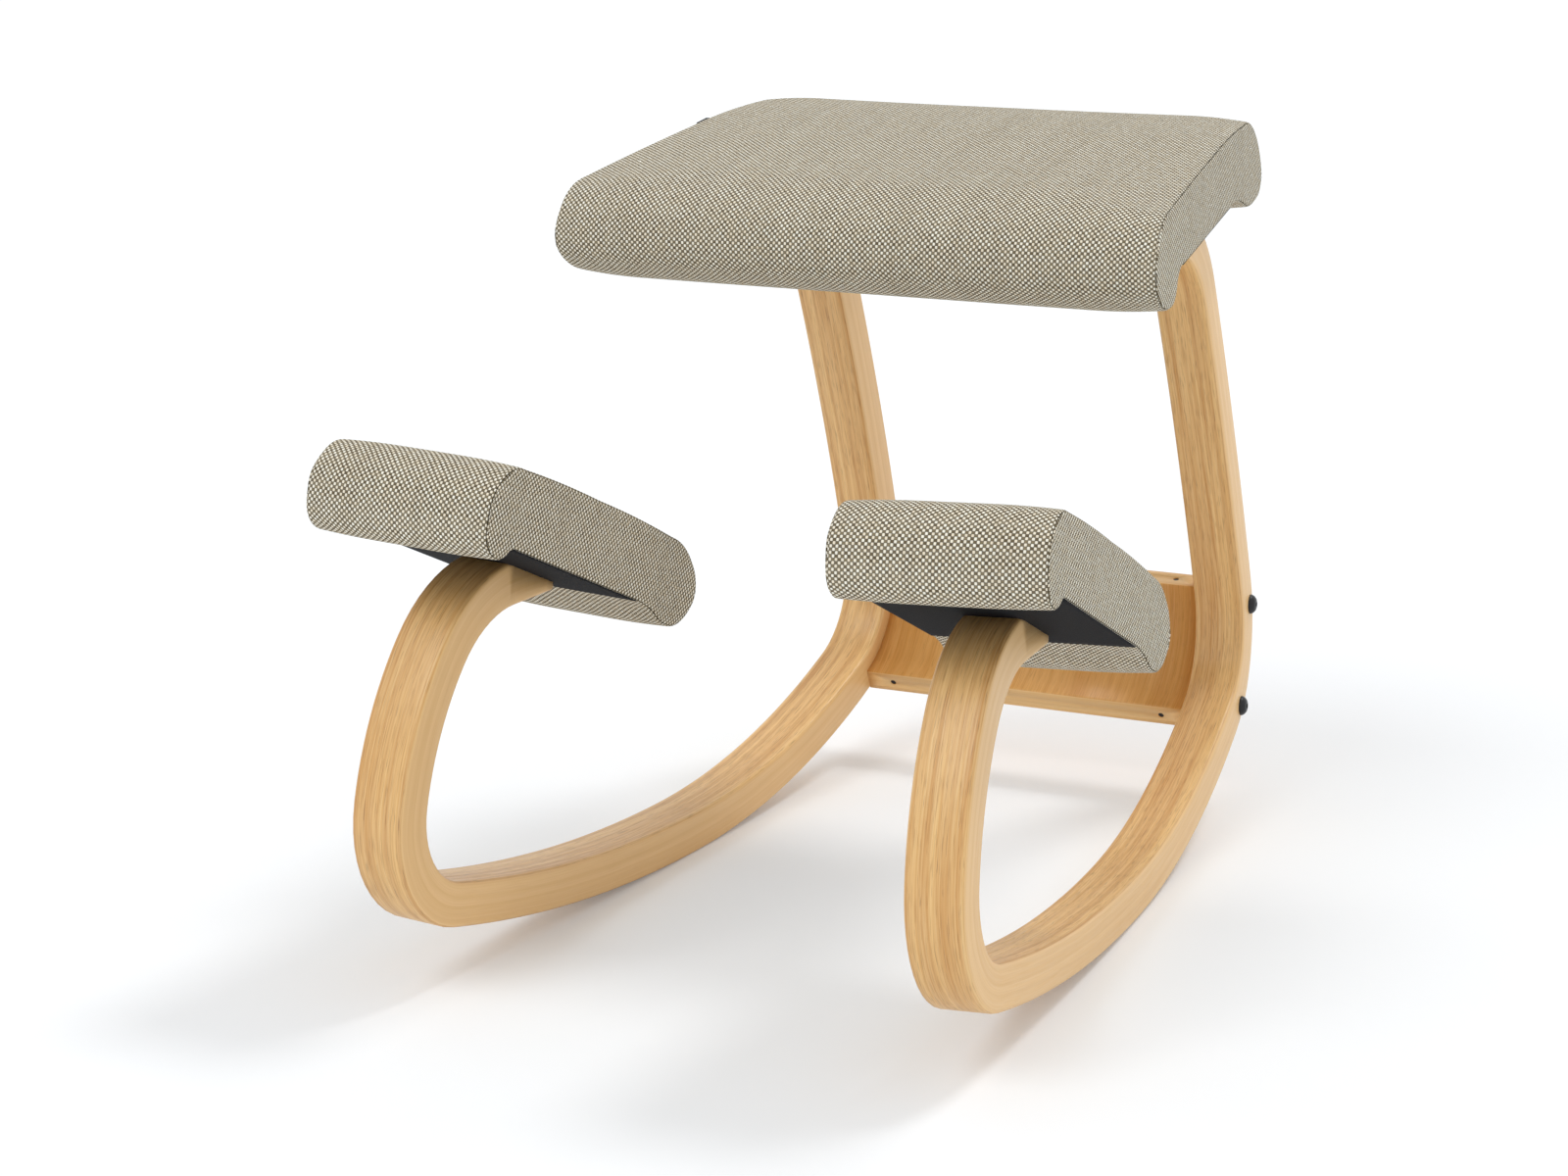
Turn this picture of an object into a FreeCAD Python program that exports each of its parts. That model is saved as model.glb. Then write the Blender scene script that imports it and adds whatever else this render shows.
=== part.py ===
import FreeCAD, Part
import math
import os
from FreeCAD import Placement, Rotation, Vector

# Rocking kneeling chair, millimetres.
# X is across the chair, Y runs from the knee pads (negative) to the seat (positive), Z is up.
# The origin is on the floor, in the middle of the chair's plan.

# Runner strip
STRIP_W = 40.0
STRIP_T = 32.0
STRIP_EDGE = 2.8           # bevel along the four long edges
HALF_SPAN = 181.0          # centre plane of a runner from the middle plane, at the floor and Y = 0
SPLAY = 3.6                # each runner turns outwards towards the knees, degrees
CAMBER = 2.2               # each runner leans inwards at the top, degrees

# Runner centreline: radius and turn of each arc, from the knee end to the seat end.
# The knee bend and the top bend take up what is left of the turn.
CONTACT_Y = 33.1           # point of the rocker that the chair stands on at rest
KNEE_END_L = 46.0
KNEE_R = 95.5
LEG_R, LEG_TURN = 208.0, 29.5
FRONT_R, FRONT_TURN = 72.0, 86.3
ROCK_FRONT_R, ROCK_FRONT_TURN = 1296.0, 14.7
ROCK_REAR_R, ROCK_REAR_TURN = 665.0, 24.1
REAR_R, REAR_TURN = 77.0, 85.1
UPRIGHT_R, UPRIGHT_TURN = 2278.0, 6.9
TOP_R = 97.0
SEAT_END_L = 112.0

# Cross panel, let in flush with the rear face of the runners
PANEL_T = 18.5
PANEL_RECESS = 0.4
PANEL_EDGE_R = 1.2
PANEL_TURN = 84.0

# Bolts through the runners into the ends of the panel
BOLT_D = 6.0
BOLT_CLEAR = 0.3
FRAME_HEAD_D = 15.5
FRAME_HEAD_H = 5.0
BOLT_FROM_EDGE = 18.0      # along the panel's middle line, from its top and bottom edges
INSERT_D = 10.0
INSERT_L = 22.0
INSERT_CLEAR = 0.1
FRAME_BOLT_REACH = 18.0
PIN_D = 4.8
PIN_BORE_D = 5.0
PIN_GAP = 4.0              # depth of the open mouth of each pin bore
PIN_END_GAP = 1.0          # wood left between a pin bore and its insert nut
PIN_INSET = 21.0           # pin bores from the end of the panel

# Seat cushion
SEAT_SLOPE = 7.5           # rises towards the back, degrees
SEAT_FROM_CONTACT = 68.0   # origin of the seat's own frame, on the underside, behind the contact point
SEAT_FLAT_CUT = 0.3        # depth of the flat planed on the seat ends, below their lowest edge
SEAT_HALF_W = 208.0        # at the origin of the seat's frame
SEAT_TAPER = 5.8           # each end turns in towards the back, degrees
SEAT_CROWN = 5.5           # how far the ends are drawn in from the full section
SEAT_PLATE_T = 12.0
SEAT_PLATE_Y = (-70.0, 74.0)
SEAT_PLATE_INSET = 14.0

# Knee pads
PAD_SLOPE = 24.0           # falls towards the back, degrees
PAD_LAND_Y = 50.0          # length of the flat cut on the knee end that carries the pad
KNEE_NOSE_T = 7.0          # strip thickness left at the tip
PAD_SHIFT = -7.0           # middle of the pad's length from the middle of the flat
PAD_HALF_W = 69.0
PAD_CROWN = 4.0
PAD_PLATE_T = 9.0
PAD_PLATE_Y = (-110.0, 60.0)
PAD_PLATE_INSET = 9.0

# Cloth
COVER_T = 1.4
CLOTH_T = 0.8
CLOTH_MARGIN = 3.0
CROWN_REACH = 48.0         # the ends are drawn in over this depth
CROWN_STATIONS = (0.0, 0.35, 1.0)

# Bolts and tee nuts under the seat and the pads
SMALL_HEAD_D = 11.0
SMALL_HEAD_H = 3.3
HEAD_SEAT_CLEAR = 0.5
HEAD_SINK = 3.5            # seat of each head above the lower face of the strip
BOLT_END_GAP = 1.0         # bolt end below the top of the plate
HIDDEN_SIDES = 12          # sides of the fasteners that nothing shows, and of their bores
TEE_BARREL_D = 8.0
TEE_FLANGE_D = 18.0
TEE_FLANGE_T = 1.2
TEE_CLEAR = 0.1
SEAT_BOLT_Y = (-30.0, 22.0)
PAD_BOLT_Y = (-16.0, 8.0)

# Small loop tag in the left end of the seat
TAG_SIZE = (7.0, 16.0, 1.6)
TAG_POINT = (58.0, 47.5)

# Blocks and rods that only cut
CUT_REACH = 1000.0
OVERCUT = 2.0              # how far a bore starts outside the face that it enters
PAD_CUT = (200.0, 120.0)   # half length and height of the block that cuts the pad's flat
SEAT_CUT = (400.0, 60.0)   # block above the seat plane: reach to the front, and to the back and up

# Sections of the cushions, walked from the lower front corner of the cloth opening,
# round the front roll, over the top and round the back roll to the rear corner.
# Each row is the end of an edge and, for an arc, a point on the way.
SEAT_SECTION = [
    ((-76.0, 0.0), None),
    ((-98.0, -14.0), (-91.0, -3.5)),
    ((-118.0, -20.5), (-106.0, -19.5)),
    ((-157.5, 2.0), (-143.0, -12.0)),
    ((-152.0, 34.0), (-159.5, 18.5)),
    ((-118.0, 51.5), (-138.5, 46.8)),
    ((30.0, 56.5), (-44.0, 54.6)),
    ((128.0, 53.5), (79.0, 56.3)),
    ((168.0, 36.0), (150.5, 48.5)),
    ((186.0, 0.0), (180.5, 19.0)),
    ((166.0, -16.5), (180.5, -12.0)),
    ((128.0, -12.5), (147.0, -16.5)),
    ((78.0, 0.0), (104.0, -4.2)),
]
PAD_SECTION = [
    ((-116.0, 0.0), None),
    ((-129.0, -3.0), (-122.5, -3.6)),
    ((-144.5, 15.0), (-139.5, 4.5)),
    ((-139.0, 43.0), (-145.5, 30.0)),
    ((-114.0, 54.5), (-128.5, 51.5)),
    ((-15.0, 57.5), (-64.0, 57.0)),
    ((92.0, 55.0), (40.0, 57.2)),
    ((127.0, 43.5), (112.0, 51.5)),
    ((140.0, 20.0), (137.0, 33.0)),
    ((117.0, -8.0), (133.5, 2.5)),
    ((96.0, -7.0), (106.5, -8.6)),
    ((64.0, 0.0), (80.0, -2.6)),
]


mirror_x = (Vector(0, 0, 0), Vector(1, 0, 0))


def polar(radius, degrees):
    return Vector(0, radius * math.cos(math.radians(degrees)), radius * math.sin(math.radians(degrees)))


def right_of(heading):
    """Unit vector to the outer side of a path that turns left."""
    return polar(1.0, heading - 90.0)


def centreline():
    """Segments of the runner from the knee end: start, heading, turn and radius or length."""
    knee_turn = 180.0 - LEG_TURN - FRONT_TURN - ROCK_FRONT_TURN
    top_turn = 180.0 + SEAT_SLOPE - ROCK_REAR_TURN - REAR_TURN - UPRIGHT_TURN
    steps = [
        ("knee_end", 0.0, KNEE_END_L),
        ("knee", knee_turn, KNEE_R),
        ("leg", LEG_TURN, LEG_R),
        ("front", FRONT_TURN, FRONT_R),
        ("rock_front", ROCK_FRONT_TURN, ROCK_FRONT_R),
        ("rock_rear", ROCK_REAR_TURN, ROCK_REAR_R),
        ("rear", REAR_TURN, REAR_R),
        ("upright", UPRIGHT_TURN, UPRIGHT_R),
        ("top", top_turn, TOP_R),
        ("seat_end", 0.0, SEAT_END_L),
    ]
    point, heading, segments = Vector(0, 0, 0), 180.0, {}
    for name, turn, size in steps:
        if turn:
            centre = point - right_of(heading) * size
            end = centre + right_of(heading + turn) * size
        else:
            centre = None
            end = point + polar(size, heading)
        segments[name] = dict(start=point, end=end, centre=centre, heading=heading, turn=turn, size=size)
        point, heading = end, heading + turn
    shift = Vector(0, CONTACT_Y, STRIP_T / 2) - segments["rock_rear"]["start"]
    for segment in segments.values():
        for key in ("start", "end", "centre"):
            if segment[key] is not None:
                segment[key] = segment[key] + shift
    return segments


def offset_edges(segments, offset):
    """Edges of the path moved to its outer side by offset."""
    edges = []
    for seg in segments.values():
        first = seg["start"] + right_of(seg["heading"]) * offset
        last = seg["end"] + right_of(seg["heading"] + seg["turn"]) * offset
        if seg["centre"] is None:
            edges.append(Part.makeLine(first, last))
        else:
            middle = seg["centre"] + right_of(seg["heading"] + seg["turn"] / 2) * (seg["size"] + offset)
            edges.append(Part.Arc(first, middle, last).toShape())
    return edges


def block(x0, x1, y0, y1, z0, z1):
    return Part.makeBox(x1 - x0, y1 - y0, z1 - z0, Vector(x0, y0, z0))


def rod(radius, base, direction, length):
    return Part.makeCylinder(radius, length, base, direction)


def prism(radius, base, direction, length):
    """Rod with HIDDEN_SIDES flat sides, whose corners lie at radius."""
    turn = Rotation(Vector(0, 0, 1), direction)
    angles = [2 * math.pi * i / HIDDEN_SIDES for i in range(HIDDEN_SIDES + 1)]
    corners = [base + turn.multVec(Vector(radius * math.cos(a), radius * math.sin(a), 0)) for a in angles]
    return Part.Face(Part.makePolygon(corners)).extrude(direction * length)


def prism_bore(radius, base, direction, length):
    """Bore with flat sides that lie at radius, so that a prism of that radius fits at any turn."""
    return prism(radius / math.cos(math.pi / HIDDEN_SIDES), base, direction, length)


def on_shank(head, head_h, reach):
    """Bolt along +Z: a head below Z = 0 on a shank that ends at reach."""
    up = Vector(0, 0, 1)
    return head.fuse(prism(BOLT_D / 2, up * (-head_h / 2), up, reach + head_h / 2))


def small_bolt(head_d, head_h, reach):
    """Hidden bolt with a flat head."""
    up = Vector(0, 0, 1)
    return on_shank(prism(head_d / 2, up * -head_h, up, head_h), head_h, reach)


def button_bolt(head_d, head_h, reach):
    """Bolt with a round, sloping head."""
    r = head_d / 2
    points = [Vector(0, 0, -head_h), Vector(0.6 * r, 0, -head_h), Vector(r, 0, -0.35 * head_h),
              Vector(r, 0, 0), Vector(0, 0, 0), Vector(0, 0, -head_h)]
    head = Part.Face(Part.makePolygon(points)).revolve(Vector(0, 0, 0), Vector(0, 0, 1), 360)
    return on_shank(head, head_h, reach)


def tee_nut(barrel_l):
    """Tee nut along Z: flange on top at Z = 0, barrel below, threaded bore through."""
    up = Vector(0, 0, 1)
    nut = prism(TEE_FLANGE_D / 2, Vector(0, 0, 0), up, TEE_FLANGE_T)
    nut = nut.fuse(prism(TEE_BARREL_D / 2, up * -barrel_l, up, barrel_l + TEE_FLANGE_T / 2))
    bore_l = barrel_l + TEE_FLANGE_T + 2 * OVERCUT
    return nut.cut(prism_bore(BOLT_D / 2, up * (-barrel_l - OVERCUT), up, bore_l))


def section_wire(rows, inset, placement):
    """Closed wire of a cushion section, moved inwards all round by inset."""
    ends = [Vector(0, *end) for end, _ in rows]
    vias = [Vector(0, *via) for _, via in rows[1:]]
    edges = [Part.Arc(a, via, b).toShape() for a, via, b in zip(ends, vias, ends[1:])]
    edges.append(Part.makeLine(ends[-1], ends[0]))
    arriving = [edge.tangentAt(edge.LastParameter) for edge in edges]
    leaving = [edge.tangentAt(edge.FirstParameter) for edge in edges]

    def moved(point, way):
        way.normalize()
        return point + Vector(0, way.z, -way.y) * inset

    ends = [moved(end, arriving[i - 1] + leaving[i]) for i, end in enumerate(ends)]
    vias = []
    for edge in edges[:-1]:
        middle = (edge.FirstParameter + edge.LastParameter) / 2
        vias.append(moved(edge.valueAt(middle), edge.tangentAt(middle)))
    edges = [Part.Arc(a, via, b).toShape() for a, via, b in zip(ends, vias, ends[1:])]
    wire = Part.Wire(edges + [Part.makeLine(ends[-1], ends[0])])
    wire.Placement = placement
    return wire


def end_placement(share, half_w, taper):
    """Plane of a section: share -1 is the left end, 1 the right end."""
    return Placement(Vector(share * half_w, 0, 0), Rotation(Vector(0, 0, 1), share * taper))


def cushion(rows, half_w, taper, crown, skin):
    """Cushion with drawn-in ends and a straight middle, smaller all round by skin."""
    reach = half_w - skin

    def wire_at(depth):
        inset = crown * (1 - min(depth / CROWN_REACH, 1.0)) ** 2
        return section_wire(rows, inset + skin, end_placement(1 - depth / half_w, reach, taper))

    end = Part.makeLoft([wire_at(CROWN_REACH * share) for share in CROWN_STATIONS], True, True)
    full = wire_at(CROWN_REACH)
    middle = Part.makeLoft([full, full.mirror(*mirror_x)], True, True)
    return middle.fuse(end).fuse(end.mirror(*mirror_x))


def cushion_parts(rows, half_w, taper, crown, plate_y, plate_t, plate_inset):
    """Plate, foam, main cover, end panels and bottom cloth of one cushion in its own frame."""
    outer = cushion(rows, half_w, taper, crown, 0.0)
    inner = cushion(rows, half_w, taper, crown, COVER_T)
    front, back = rows[0][0][0], rows[-1][0][0]
    slope = math.tan(math.radians(taper))

    def trapezium(y0, y1, margin, z0, z1):
        halves = [half_w - y * slope - margin for y in (y0, y1)]
        corners = [Vector(-halves[0], y0, z0), Vector(halves[0], y0, z0),
                   Vector(halves[1], y1, z0), Vector(-halves[1], y1, z0), Vector(-halves[0], y0, z0)]
        return Part.Face(Part.makePolygon(corners)).extrude(Vector(0, 0, z1 - z0))

    plate = trapezium(plate_y[0], plate_y[1], plate_inset, CLOTH_T, CLOTH_T + plate_t)
    cloth_inset = CLOTH_MARGIN + crown
    cloth = trapezium(front + CLOTH_MARGIN, back - CLOTH_MARGIN, cloth_inset, 0.0, CLOTH_T)
    foam = inner.cut(plate).cut(trapezium(front, back, 0.0, -CUT_REACH, CLOTH_T))
    opening = trapezium(front + CLOTH_MARGIN, back - CLOTH_MARGIN, cloth_inset, -CUT_REACH, CLOTH_T)
    cover = outer.cut(inner).cut(opening).cut(plate)
    panels = {}
    for side, sign in (("left", -1), ("right", 1)):
        slab = block(-COVER_T, CUT_REACH, -CUT_REACH, CUT_REACH, -CUT_REACH, CUT_REACH)
        slab.Placement = Placement(Vector(half_w, 0, 0), Rotation(Vector(0, 0, 1), taper))
        if sign < 0:
            slab = slab.mirror(*mirror_x)
        panels[side] = cover.common(slab)
        cover = cover.cut(slab)
    return dict(plate=plate, foam=foam, cover=cover, cloth=cloth, panels=panels)


segments = centreline()
lift = (STRIP_W / 2 - STRIP_EDGE) * math.sin(math.radians(CAMBER))
runner_frame = Placement(Vector(HALF_SPAN, 0, lift), Rotation(Vector(0, 0, 1), SPLAY))
runner_frame = runner_frame.multiply(Placement(Vector(0, 0, 0), Rotation(Vector(0, 1, 0), -CAMBER)))

# Seat plane: it passes through the lowest line of the top face of the seat end.
top_line = segments["seat_end"]["start"] + right_of(180.0 + SEAT_SLOPE) * (STRIP_T / 2)
seat_touch = runner_frame.multVec(Vector(-STRIP_W / 2, top_line.y, top_line.z - SEAT_FLAT_CUT))
seat_y = CONTACT_Y + SEAT_FROM_CONTACT
seat_rise = (seat_y - seat_touch.y) * math.tan(math.radians(SEAT_SLOPE))
seat_origin = Vector(0, seat_y, seat_touch.z + seat_rise)
seat_frame = Placement(seat_origin, Rotation(Vector(1, 0, 0), SEAT_SLOPE))

# Flat on the knee end, in the runner's frame. The pad's frame sits at the middle of the flat.
tip = segments["knee_end"]["start"]
nose = Vector(0, tip.y, tip.z - STRIP_T / 2 + KNEE_NOSE_T)
land_mid = nose - polar(PAD_LAND_Y / 2, -PAD_SLOPE)
pad_local = Placement(land_mid, Rotation(Vector(1, 0, 0), -PAD_SLOPE))
pad_frame = runner_frame.multiply(pad_local)


def make_runner():
    """Right runner: the bent strip with its cut ends and bolt holes."""
    outer = offset_edges(segments, STRIP_T / 2)
    inner = offset_edges(segments, -STRIP_T / 2)
    ends = [Part.makeLine(outer[0].Vertexes[0].Point, inner[0].Vertexes[0].Point),
            Part.makeLine(outer[-1].Vertexes[-1].Point, inner[-1].Vertexes[-1].Point)]
    profile = Part.Face(Part.Wire(Part.__sortEdges__(outer + inner + ends)))
    profile.translate(Vector(-STRIP_W / 2, 0, 0))
    strip = profile.extrude(Vector(STRIP_W, 0, 0))
    long_edges = []
    for edge in strip.Edges:
        box = edge.BoundBox
        at_side = abs(abs(box.Center.x) - STRIP_W / 2) < 0.01 and box.XLength < 0.01
        is_end = edge.Length < STRIP_T + 0.01 and isinstance(edge.Curve, Part.Line)
        if at_side and not is_end:
            long_edges.append(edge)
    strip = strip.makeChamfer(STRIP_EDGE, long_edges)
    wedge = block(-STRIP_W, STRIP_W, -PAD_CUT[0], PAD_CUT[0], 0, PAD_CUT[1])
    wedge.Placement = pad_local
    strip = strip.cut(wedge)
    strip.Placement = runner_frame
    above_seat = block(-CUT_REACH, CUT_REACH, -SEAT_CUT[0], SEAT_CUT[1], 0, SEAT_CUT[1])
    above_seat.Placement = seat_frame
    return strip.cut(above_seat)


def rear_point(heading, radius):
    """Point on the rear bend in the runner's frame."""
    return segments["rear"]["centre"] + right_of(heading) * radius


panel_outer_r = REAR_R + STRIP_T / 2 - PANEL_RECESS
panel_mid_r = panel_outer_r - PANEL_T / 2
panel_first = segments["rear"]["heading"] + (REAR_TURN - PANEL_TURN) / 2
edge_turn = math.degrees(BOLT_FROM_EDGE / panel_mid_r)
bolt_headings = (panel_first + edge_turn, panel_first + PANEL_TURN - edge_turn)
across = runner_frame.Rotation.multVec(Vector(1, 0, 0))
inner_face = block(-STRIP_W / 2, CUT_REACH, -CUT_REACH, CUT_REACH, -CUT_REACH, CUT_REACH)
inner_face.Placement = runner_frame
panel_axis = runner_frame.multVec(rear_point(0.0, 0.0) - Vector(STRIP_W / 2, 0, 0))
panel_axis.x = 0


def bolt_at_panel(heading):
    """Where the bolt at heading enters the end of the panel."""
    return runner_frame.multVec(rear_point(heading, panel_mid_r) - Vector(STRIP_W / 2, 0, 0))


def make_panel():
    """Curved panel between the inner faces of the runners, with its bores."""
    first, last = panel_first, panel_first + PANEL_TURN
    outside = [panel_axis + right_of(a) * panel_outer_r for a in (first, (first + last) / 2, last)]
    small_r = panel_outer_r - PANEL_T
    inside = [panel_axis + right_of(a) * small_r for a in (last, (first + last) / 2, first)]
    edges = [Part.Arc(*outside).toShape(), Part.makeLine(outside[-1], inside[0]),
             Part.Arc(*inside).toShape(), Part.makeLine(inside[-1], outside[0])]
    profile = Part.Face(Part.Wire(edges))
    profile.translate(Vector(-HALF_SPAN, 0, 0))
    panel = profile.extrude(Vector(2 * HALF_SPAN, 0, 0))
    panel = panel.makeFillet(PANEL_EDGE_R, [e for e in panel.Edges if e.BoundBox.XLength > HALF_SPAN])
    panel = panel.cut(inner_face).cut(inner_face.mirror(*mirror_x))
    for heading in bolt_headings:
        mouth = bolt_at_panel(heading) + across * OVERCUT
        bore = prism_bore(INSERT_D / 2 + INSERT_CLEAR, mouth, across * -1, INSERT_L + OVERCUT + INSERT_CLEAR)
        panel = panel.cut(bore).cut(bore.mirror(*mirror_x))
    for bore in pin_bores():
        panel = panel.cut(bore).cut(bore.mirror(*mirror_x))
    return panel


def pin_line(heading, sign):
    """Mouth, inward direction and depth of a pin bore beside the bolt at heading."""
    target = bolt_at_panel(heading) - across * PIN_INSET
    edge_heading = panel_first if sign < 0 else panel_first + PANEL_TURN
    mouth = panel_axis + Vector(target.x, 0, 0) + right_of(edge_heading) * panel_mid_r
    way = target - mouth
    depth = way.Length - INSERT_D / 2 - PIN_END_GAP
    return mouth, way.normalize(), depth


def pin_bores():
    bores = []
    for heading, sign in zip(bolt_headings, (-1, 1)):
        mouth, way, depth = pin_line(heading, sign)
        bores.append(rod(PIN_BORE_D / 2, mouth - way * OVERCUT, way, depth + OVERCUT))
    return bores


def pins():
    made = []
    for heading, sign in zip(bolt_headings, (-1, 1)):
        mouth, way, depth = pin_line(heading, sign)
        made.append(prism(PIN_D / 2, mouth + way * PIN_GAP, way, depth - PIN_GAP))
    return made


def frame_bolts_and_inserts():
    """Bolts from the outer face of the right runner into insert nuts in the panel's end."""
    bolts, inserts, holes = [], [], []
    turn = Rotation(Vector(0, 0, 1), across * -1)
    for heading in bolt_headings:
        outside = runner_frame.multVec(rear_point(heading, panel_mid_r) + Vector(STRIP_W / 2, 0, 0))
        bolt = button_bolt(FRAME_HEAD_D, FRAME_HEAD_H, STRIP_W + FRAME_BOLT_REACH)
        bolt.Placement = Placement(outside, turn)
        bolts.append(bolt)
        insert = prism(INSERT_D / 2, outside - across * STRIP_W, across * -1, INSERT_L)
        inserts.append(insert.cut(prism_bore(BOLT_D / 2, outside, across * -1, STRIP_W + INSERT_L + OVERCUT)))
        mouth = outside + across * OVERCUT
        holes.append(prism_bore(BOLT_D / 2 + BOLT_CLEAR, mouth, across * -1, STRIP_W + 2 * OVERCUT))
    return bolts, inserts, holes


def under_bolts(frame, spots, plate_t, strip_at):
    """Bolts normal to a plate, from seats cut in the strip below, with their tee nuts."""
    bolts, nuts, holes, bores = [], [], [], []
    up = frame.Rotation.multVec(Vector(0, 0, 1))
    for x, y in spots:
        foot = frame.multVec(Vector(x, y, 0))
        depth = strip_at(x, y)
        head_at = foot - up * depth
        reach = depth + CLOTH_T + plate_t - BOLT_END_GAP
        bolt = small_bolt(SMALL_HEAD_D, SMALL_HEAD_H, reach)
        bolt.Placement = Placement(head_at, frame.Rotation)
        bolts.append(bolt)
        nut = tee_nut(plate_t)
        nut.Placement = Placement(foot + up * (CLOTH_T + plate_t), frame.Rotation)
        nuts.append(nut)
        top = foot + up * (CLOTH_T + plate_t)
        under = head_at - up * OVERCUT
        holes.append(prism_bore(BOLT_D / 2 + BOLT_CLEAR, under, up, depth + 2 * OVERCUT))
        holes.append(prism_bore(SMALL_HEAD_D / 2 + HEAD_SEAT_CLEAR, head_at, up * -1, STRIP_T))
        below = foot - up * OVERCUT
        bores.append(prism_bore(TEE_BARREL_D / 2 + TEE_CLEAR, below, up, CLOTH_T + plate_t + OVERCUT))
        bores.append(prism_bore(TEE_FLANGE_D / 2 + TEE_CLEAR, top, up, TEE_FLANGE_T + TEE_CLEAR))
    return bolts, nuts, holes, bores


def cut_all(shape, tools):
    for tool in tools:
        shape = shape.cut(tool)
    return shape


def mirrored(shapes):
    return [shape.mirror(*mirror_x) for shape in shapes]


def export(name, shapes):
    shape = shapes if isinstance(shapes, Part.Shape) else Part.Compound(shapes)
    if isinstance(shape, Part.Compound) and len(shape.Solids) == 1:
        shape = shape.Solids[0]
    shape.exportStep("parts/%s.step" % name)


os.makedirs("parts", exist_ok=True)

runner = make_runner()
frame_bolts, inserts, frame_holes = frame_bolts_and_inserts()
panel = make_panel()
pin_set = pins()

# Seat bolts stand under the middle of each runner's seat end, square to the seat plane.
seat_bolt_spots = []
seat_back = seat_frame.inverse()
for y in SEAT_BOLT_Y:
    here = seat_back.multVec(runner_frame.multVec(Vector(0, seat_y + y, seat_origin.z)))
    seat_bolt_spots.append((here.x, y))
seat_bolts, seat_nuts, seat_holes, seat_bores = under_bolts(
    seat_frame, seat_bolt_spots, SEAT_PLATE_T, lambda x, y: STRIP_T - HEAD_SINK)

# Knee bolts are shorter towards the thin tip of the cut end.
pad_bolt_spots = [(0.0, y) for y in PAD_BOLT_Y]


def knee_strip_depth(x, y):
    thick = KNEE_NOSE_T + (PAD_LAND_Y / 2 - y) * math.sin(math.radians(PAD_SLOPE))
    return thick - HEAD_SINK


pad_bolts, pad_nuts, pad_holes, pad_bores = under_bolts(
    pad_frame, pad_bolt_spots, PAD_PLATE_T, knee_strip_depth)

runner = cut_all(runner, frame_holes + seat_holes + pad_holes)

seat = cushion_parts(SEAT_SECTION, SEAT_HALF_W, SEAT_TAPER, SEAT_CROWN,
                     SEAT_PLATE_Y, SEAT_PLATE_T, SEAT_PLATE_INSET)
pad = cushion_parts(PAD_SECTION, PAD_HALF_W, 0.0, PAD_CROWN, PAD_PLATE_Y, PAD_PLATE_T, PAD_PLATE_INSET)
pad_place = pad_frame.multiply(Placement(Vector(0, PAD_SHIFT, 0), Rotation()))


def placed(shape, placement):
    copy = shape.copy()
    copy.Placement = placement.multiply(copy.Placement)
    return copy


seat_all_bores = seat_bores + mirrored(seat_bores)
export("left_runner", runner.mirror(*mirror_x))
export("right_runner", runner)
export("cross_panel", panel)
export("frame_bolts", frame_bolts + mirrored(frame_bolts))
export("insert_nuts", inserts + mirrored(inserts))
export("lock_pins", pin_set + mirrored(pin_set))

seat_plate = cut_all(placed(seat["plate"], seat_frame), seat_all_bores)
seat_foam = cut_all(placed(seat["foam"], seat_frame), seat_all_bores)
seat_cloth = cut_all(placed(seat["cloth"], seat_frame), seat_all_bores)
export("seat_plate", seat_plate)
export("seat_foam", seat_foam)
export("seat_cover", placed(seat["cover"], seat_frame))
export("seat_left_panel", placed(seat["panels"]["left"], seat_frame))
export("seat_right_panel", placed(seat["panels"]["right"], seat_frame))
export("seat_bottom_cloth", seat_cloth)
export("seat_bolts", seat_bolts + mirrored(seat_bolts))
export("seat_tee_nuts", seat_nuts + mirrored(seat_nuts))

tag_x = -(SEAT_HALF_W - TAG_POINT[0] * math.tan(math.radians(SEAT_TAPER)))
tag = block(tag_x - TAG_SIZE[0], tag_x, TAG_POINT[0] - TAG_SIZE[1] / 2, TAG_POINT[0] + TAG_SIZE[1] / 2,
            TAG_POINT[1] - TAG_SIZE[2] / 2, TAG_POINT[1] + TAG_SIZE[2] / 2)
export("seat_tag", placed(tag, seat_frame))

pad_nodes = {
    "knee_plate": cut_all(placed(pad["plate"], pad_place), pad_bores),
    "knee_foam": cut_all(placed(pad["foam"], pad_place), pad_bores),
    "knee_cover": placed(pad["cover"], pad_place),
    "knee_inner_panel": placed(pad["panels"]["left"], pad_place),
    "knee_outer_panel": placed(pad["panels"]["right"], pad_place),
    "knee_bottom_cloth": cut_all(placed(pad["cloth"], pad_place), pad_bores),
}
for name, shape in pad_nodes.items():
    export("right_" + name, shape)
    export("left_" + name, shape.mirror(*mirror_x))
export("knee_bolts", pad_bolts + mirrored(pad_bolts))
export("knee_tee_nuts", pad_nuts + mirrored(pad_nuts))
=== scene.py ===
import math

import bmesh
import bpy
from mathutils import Matrix, Vector


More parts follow.
